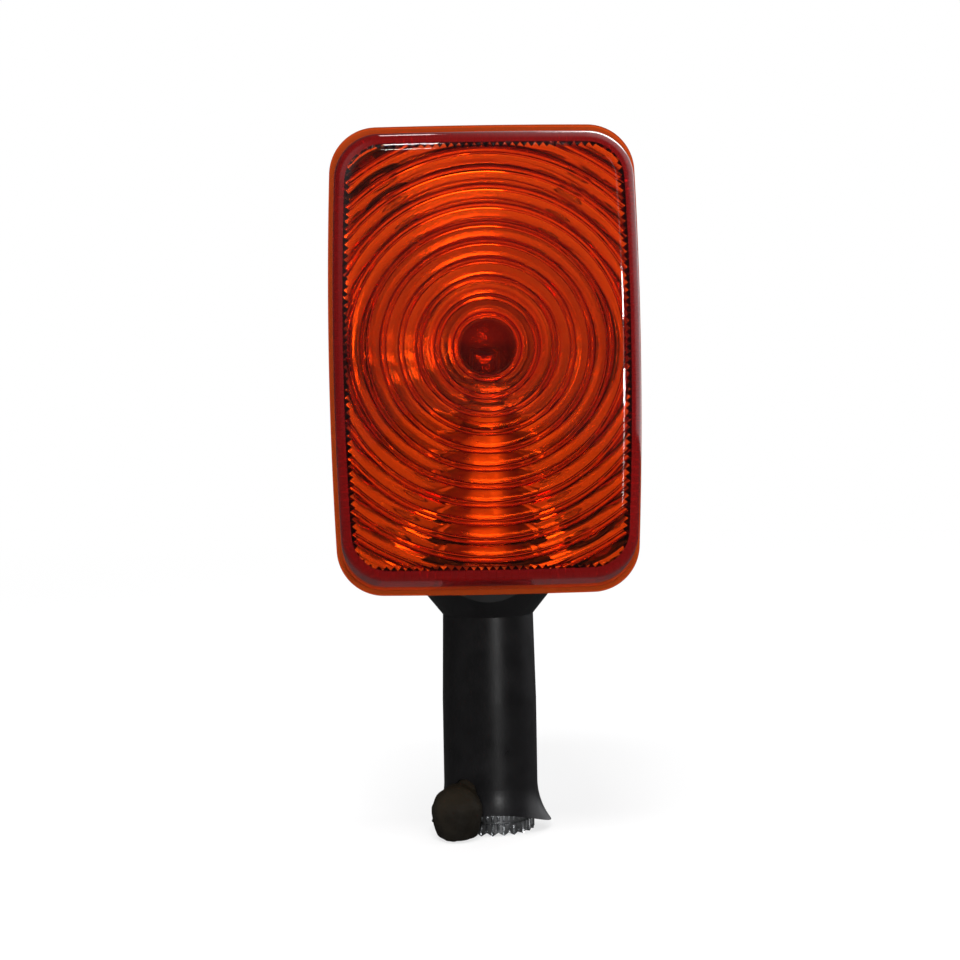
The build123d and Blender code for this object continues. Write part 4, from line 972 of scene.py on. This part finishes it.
class TURNSIGNAL_OT_stage(bpy.types.Operator):
    """Pale floor, white surroundings, soft lamps and the camera"""

    bl_idname = "turn_signal.stage"
    bl_label = "Stage"

    def execute(self, context):
        scene = context.scene
        scene.view_settings.view_transform = "Standard"
        self.floor()
        self.world(scene)
        self.lamps(scene)
        self.camera(scene)
        return {"FINISHED"}

    def floor(self):
        """A disc that is white to the camera, but for the shadow, and dark in a reflection."""
        deselect_all()
        bpy.ops.mesh.primitive_circle_add(
            vertices=FLOOR_STEPS, radius=FLOOR_RADIUS, fill_type="NGON",
            location=(0, 0, -FLOOR_GAP))
        floor = bpy.context.object
        floor.name = "floor"
        material, tree, shader = node_material("pale_floor")
        tree.feed(shader.inputs["Base Color"], FLOOR_GREY)
        shader.inputs["Roughness"].default_value = 0.7
        shader.inputs["Specular IOR Level"].default_value = 0.0
        ray = tree.add("ShaderNodeLightPath").outputs
        away = tree.add("ShaderNodeVectorMath", {0: tree.coordinates()}, operation="LENGTH")
        fade = tree.remap(
            away.outputs["Value"], SHADOW_NEAR, SHADOW_FAR, SHADOW_GLOW, 1.0,
            interpolation_type="SMOOTHSTEP")
        seen = tree.maths("MAXIMUM", ray["Is Camera Ray"], ray["Is Transmission Ray"])
        mirrored = tree.maths("SUBTRACT", ray["Is Glossy Ray"], ray["Is Transmission Ray"])
        mirrored = tree.maths("MAXIMUM", mirrored, 0.0)
        share = tree.maths("MAXIMUM", tree.maths("MULTIPLY", seen, fade), mirrored)
        dim = tree.maths("MULTIPLY", mirrored, MIRRORED_FLOOR)
        glow = tree.add("ShaderNodeEmission", {"Strength": tree.maths("SUBTRACT", 1.0, dim)})
        mix = tree.add("ShaderNodeMixShader", {
            "Fac": share, 1: shader.outputs["BSDF"], 2: glow.outputs["Emission"],
        })
        tree.feed(tree.nodes["Material Output"].inputs["Surface"], mix.outputs["Shader"])
        floor.data.materials.append(material)

    def world(self, scene):
        """Surroundings that differ for what is seen through, mirrored, lit and looked at."""
        world = bpy.data.worlds.new("studio")
        scene.world = world
        world.use_nodes = True
        tree = NodeTree(world.node_tree)
        ray = tree.add("ShaderNodeLightPath").outputs
        way = tree.parts(tree.coordinates("Generated"))
        upper = tree.ramp(way["Z"], -0.1, 0.75, DIM_LEVEL, PALE_CEILING)
        sides = tree.ramp(way["X"], -0.75, 0.2, PALE_LEFT, upper)
        sides = tree.ramp(way["Y"], -0.99, -0.94, DIM_FRONT, sides)
        seen_through = tree.ramp(way["Y"], -0.05, 0.1, sides, WHITE)
        left = tree.ramp(way["Z"], 0.0, 0.35, MIRRORED_LEFT_LOW, MIRRORED_LEFT_HIGH)
        front = tree.ramp(way["X"], -0.75, -0.1, left, MIRRORED_FRONT)
        back = tree.ramp(way["X"], -0.05, 0.18, MIRRORED_BACK_LEFT, MIRRORED_BACK_RIGHT)
        mirrored = tree.ramp(way["Y"], -0.05, 0.15, front, back)
        colour = tree.blend(ray["Is Glossy Ray"], DIFFUSE_GREY, mirrored)
        colour = tree.blend(ray["Is Transmission Ray"], colour, seen_through)
        colour = tree.blend(ray["Is Camera Ray"], colour, WHITE)
        tree.feed(tree.nodes["Background"].inputs["Color"], colour)

    def lamps(self, scene):
        """Broad lamps, and narrow ones that the lens mirrors as windows."""
        for lamp in LAMPS:
            light = bpy.data.lights.new(lamp.name, "AREA")
            light.shape = "RECTANGLE"
            light.size, light.size_y = lamp.size
            light.energy = lamp.watts
            piece = bpy.data.objects.new(lamp.name, light)
            scene.collection.objects.link(piece)
            piece.location = lamp.place
            aim = Vector(lamp.aim) - Vector(lamp.place)
            piece.rotation_euler = aim.to_track_quat("-Z", "Y").to_euler()
            piece.visible_glossy = lamp.mirrored

    def camera(self, scene):
        """A camera in front of the lens, a little to its left and above the stem."""
        data = bpy.data.cameras.new("camera")
        camera = bpy.data.objects.new("camera", data)
        scene.collection.objects.link(camera)
        scene.camera = camera
        data.sensor_width = CAMERA_SENSOR
        data.lens = CAMERA_FOCUS * CAMERA_SENSOR
        data.clip_start = 0.01
        data.clip_end = 20.0
        yaw, pitch, roll = (math.radians(turn) for turn in CAMERA_TURN)
        level = math.cos(pitch)
        ahead = Vector((math.sin(yaw) * level, math.cos(yaw) * level, math.sin(pitch)))
        camera.location = CAMERA_PLACE
        camera.rotation_mode = "QUATERNION"
        camera.rotation_quaternion = Quaternion(ahead, roll) @ ahead.to_track_quat("-Z", "Y")


class TURNSIGNAL_PT_pieces(bpy.types.Panel):
    """Lists the steps that make the turn signal light"""

    bl_idname = "TURNSIGNAL_PT_pieces"
    bl_label = "Turn signal light"
    bl_space_type = "VIEW_3D"
    bl_region_type = "UI"
    bl_category = "Turn signal"

    def draw(self, context):
        column = self.layout.column(align=True)
        for step in STEPS:
            column.operator(step.bl_idname)


STEPS = (
    TURNSIGNAL_OT_stage,
    TURNSIGNAL_OT_lens,
    TURNSIGNAL_OT_body,
    TURNSIGNAL_OT_insert,
    TURNSIGNAL_OT_boot,
    TURNSIGNAL_OT_reflector,
    TURNSIGNAL_OT_holder,
    TURNSIGNAL_OT_bulb,
    TURNSIGNAL_OT_leads,
    TURNSIGNAL_OT_fasteners,
)
CLASSES = (LensSizes, FootSizes, Finishes, *STEPS, TURNSIGNAL_PT_pieces)


def register():
    for item in CLASSES:
        bpy.utils.register_class(item)
    bpy.types.Scene.turn_signal_lens = PointerProperty(type=LensSizes)
    bpy.types.Scene.turn_signal_foot = PointerProperty(type=FootSizes)
    bpy.types.Scene.turn_signal_finishes = PointerProperty(type=Finishes)


def unregister():
    del bpy.types.Scene.turn_signal_finishes
    del bpy.types.Scene.turn_signal_foot
    del bpy.types.Scene.turn_signal_lens
    for item in reversed(CLASSES):
        bpy.utils.unregister_class(item)


def main():
    register()
    bpy.ops.turn_signal.stage()
    bpy.ops.turn_signal.lens()
    bpy.ops.turn_signal.body()
    bpy.ops.turn_signal.insert()
    bpy.ops.turn_signal.boot()
    bpy.ops.turn_signal.reflector()
    bpy.ops.turn_signal.holder()
    bpy.ops.turn_signal.bulb()
    bpy.ops.turn_signal.leads()
    bpy.ops.turn_signal.fasteners()


if __name__ == "__main__":
    main()
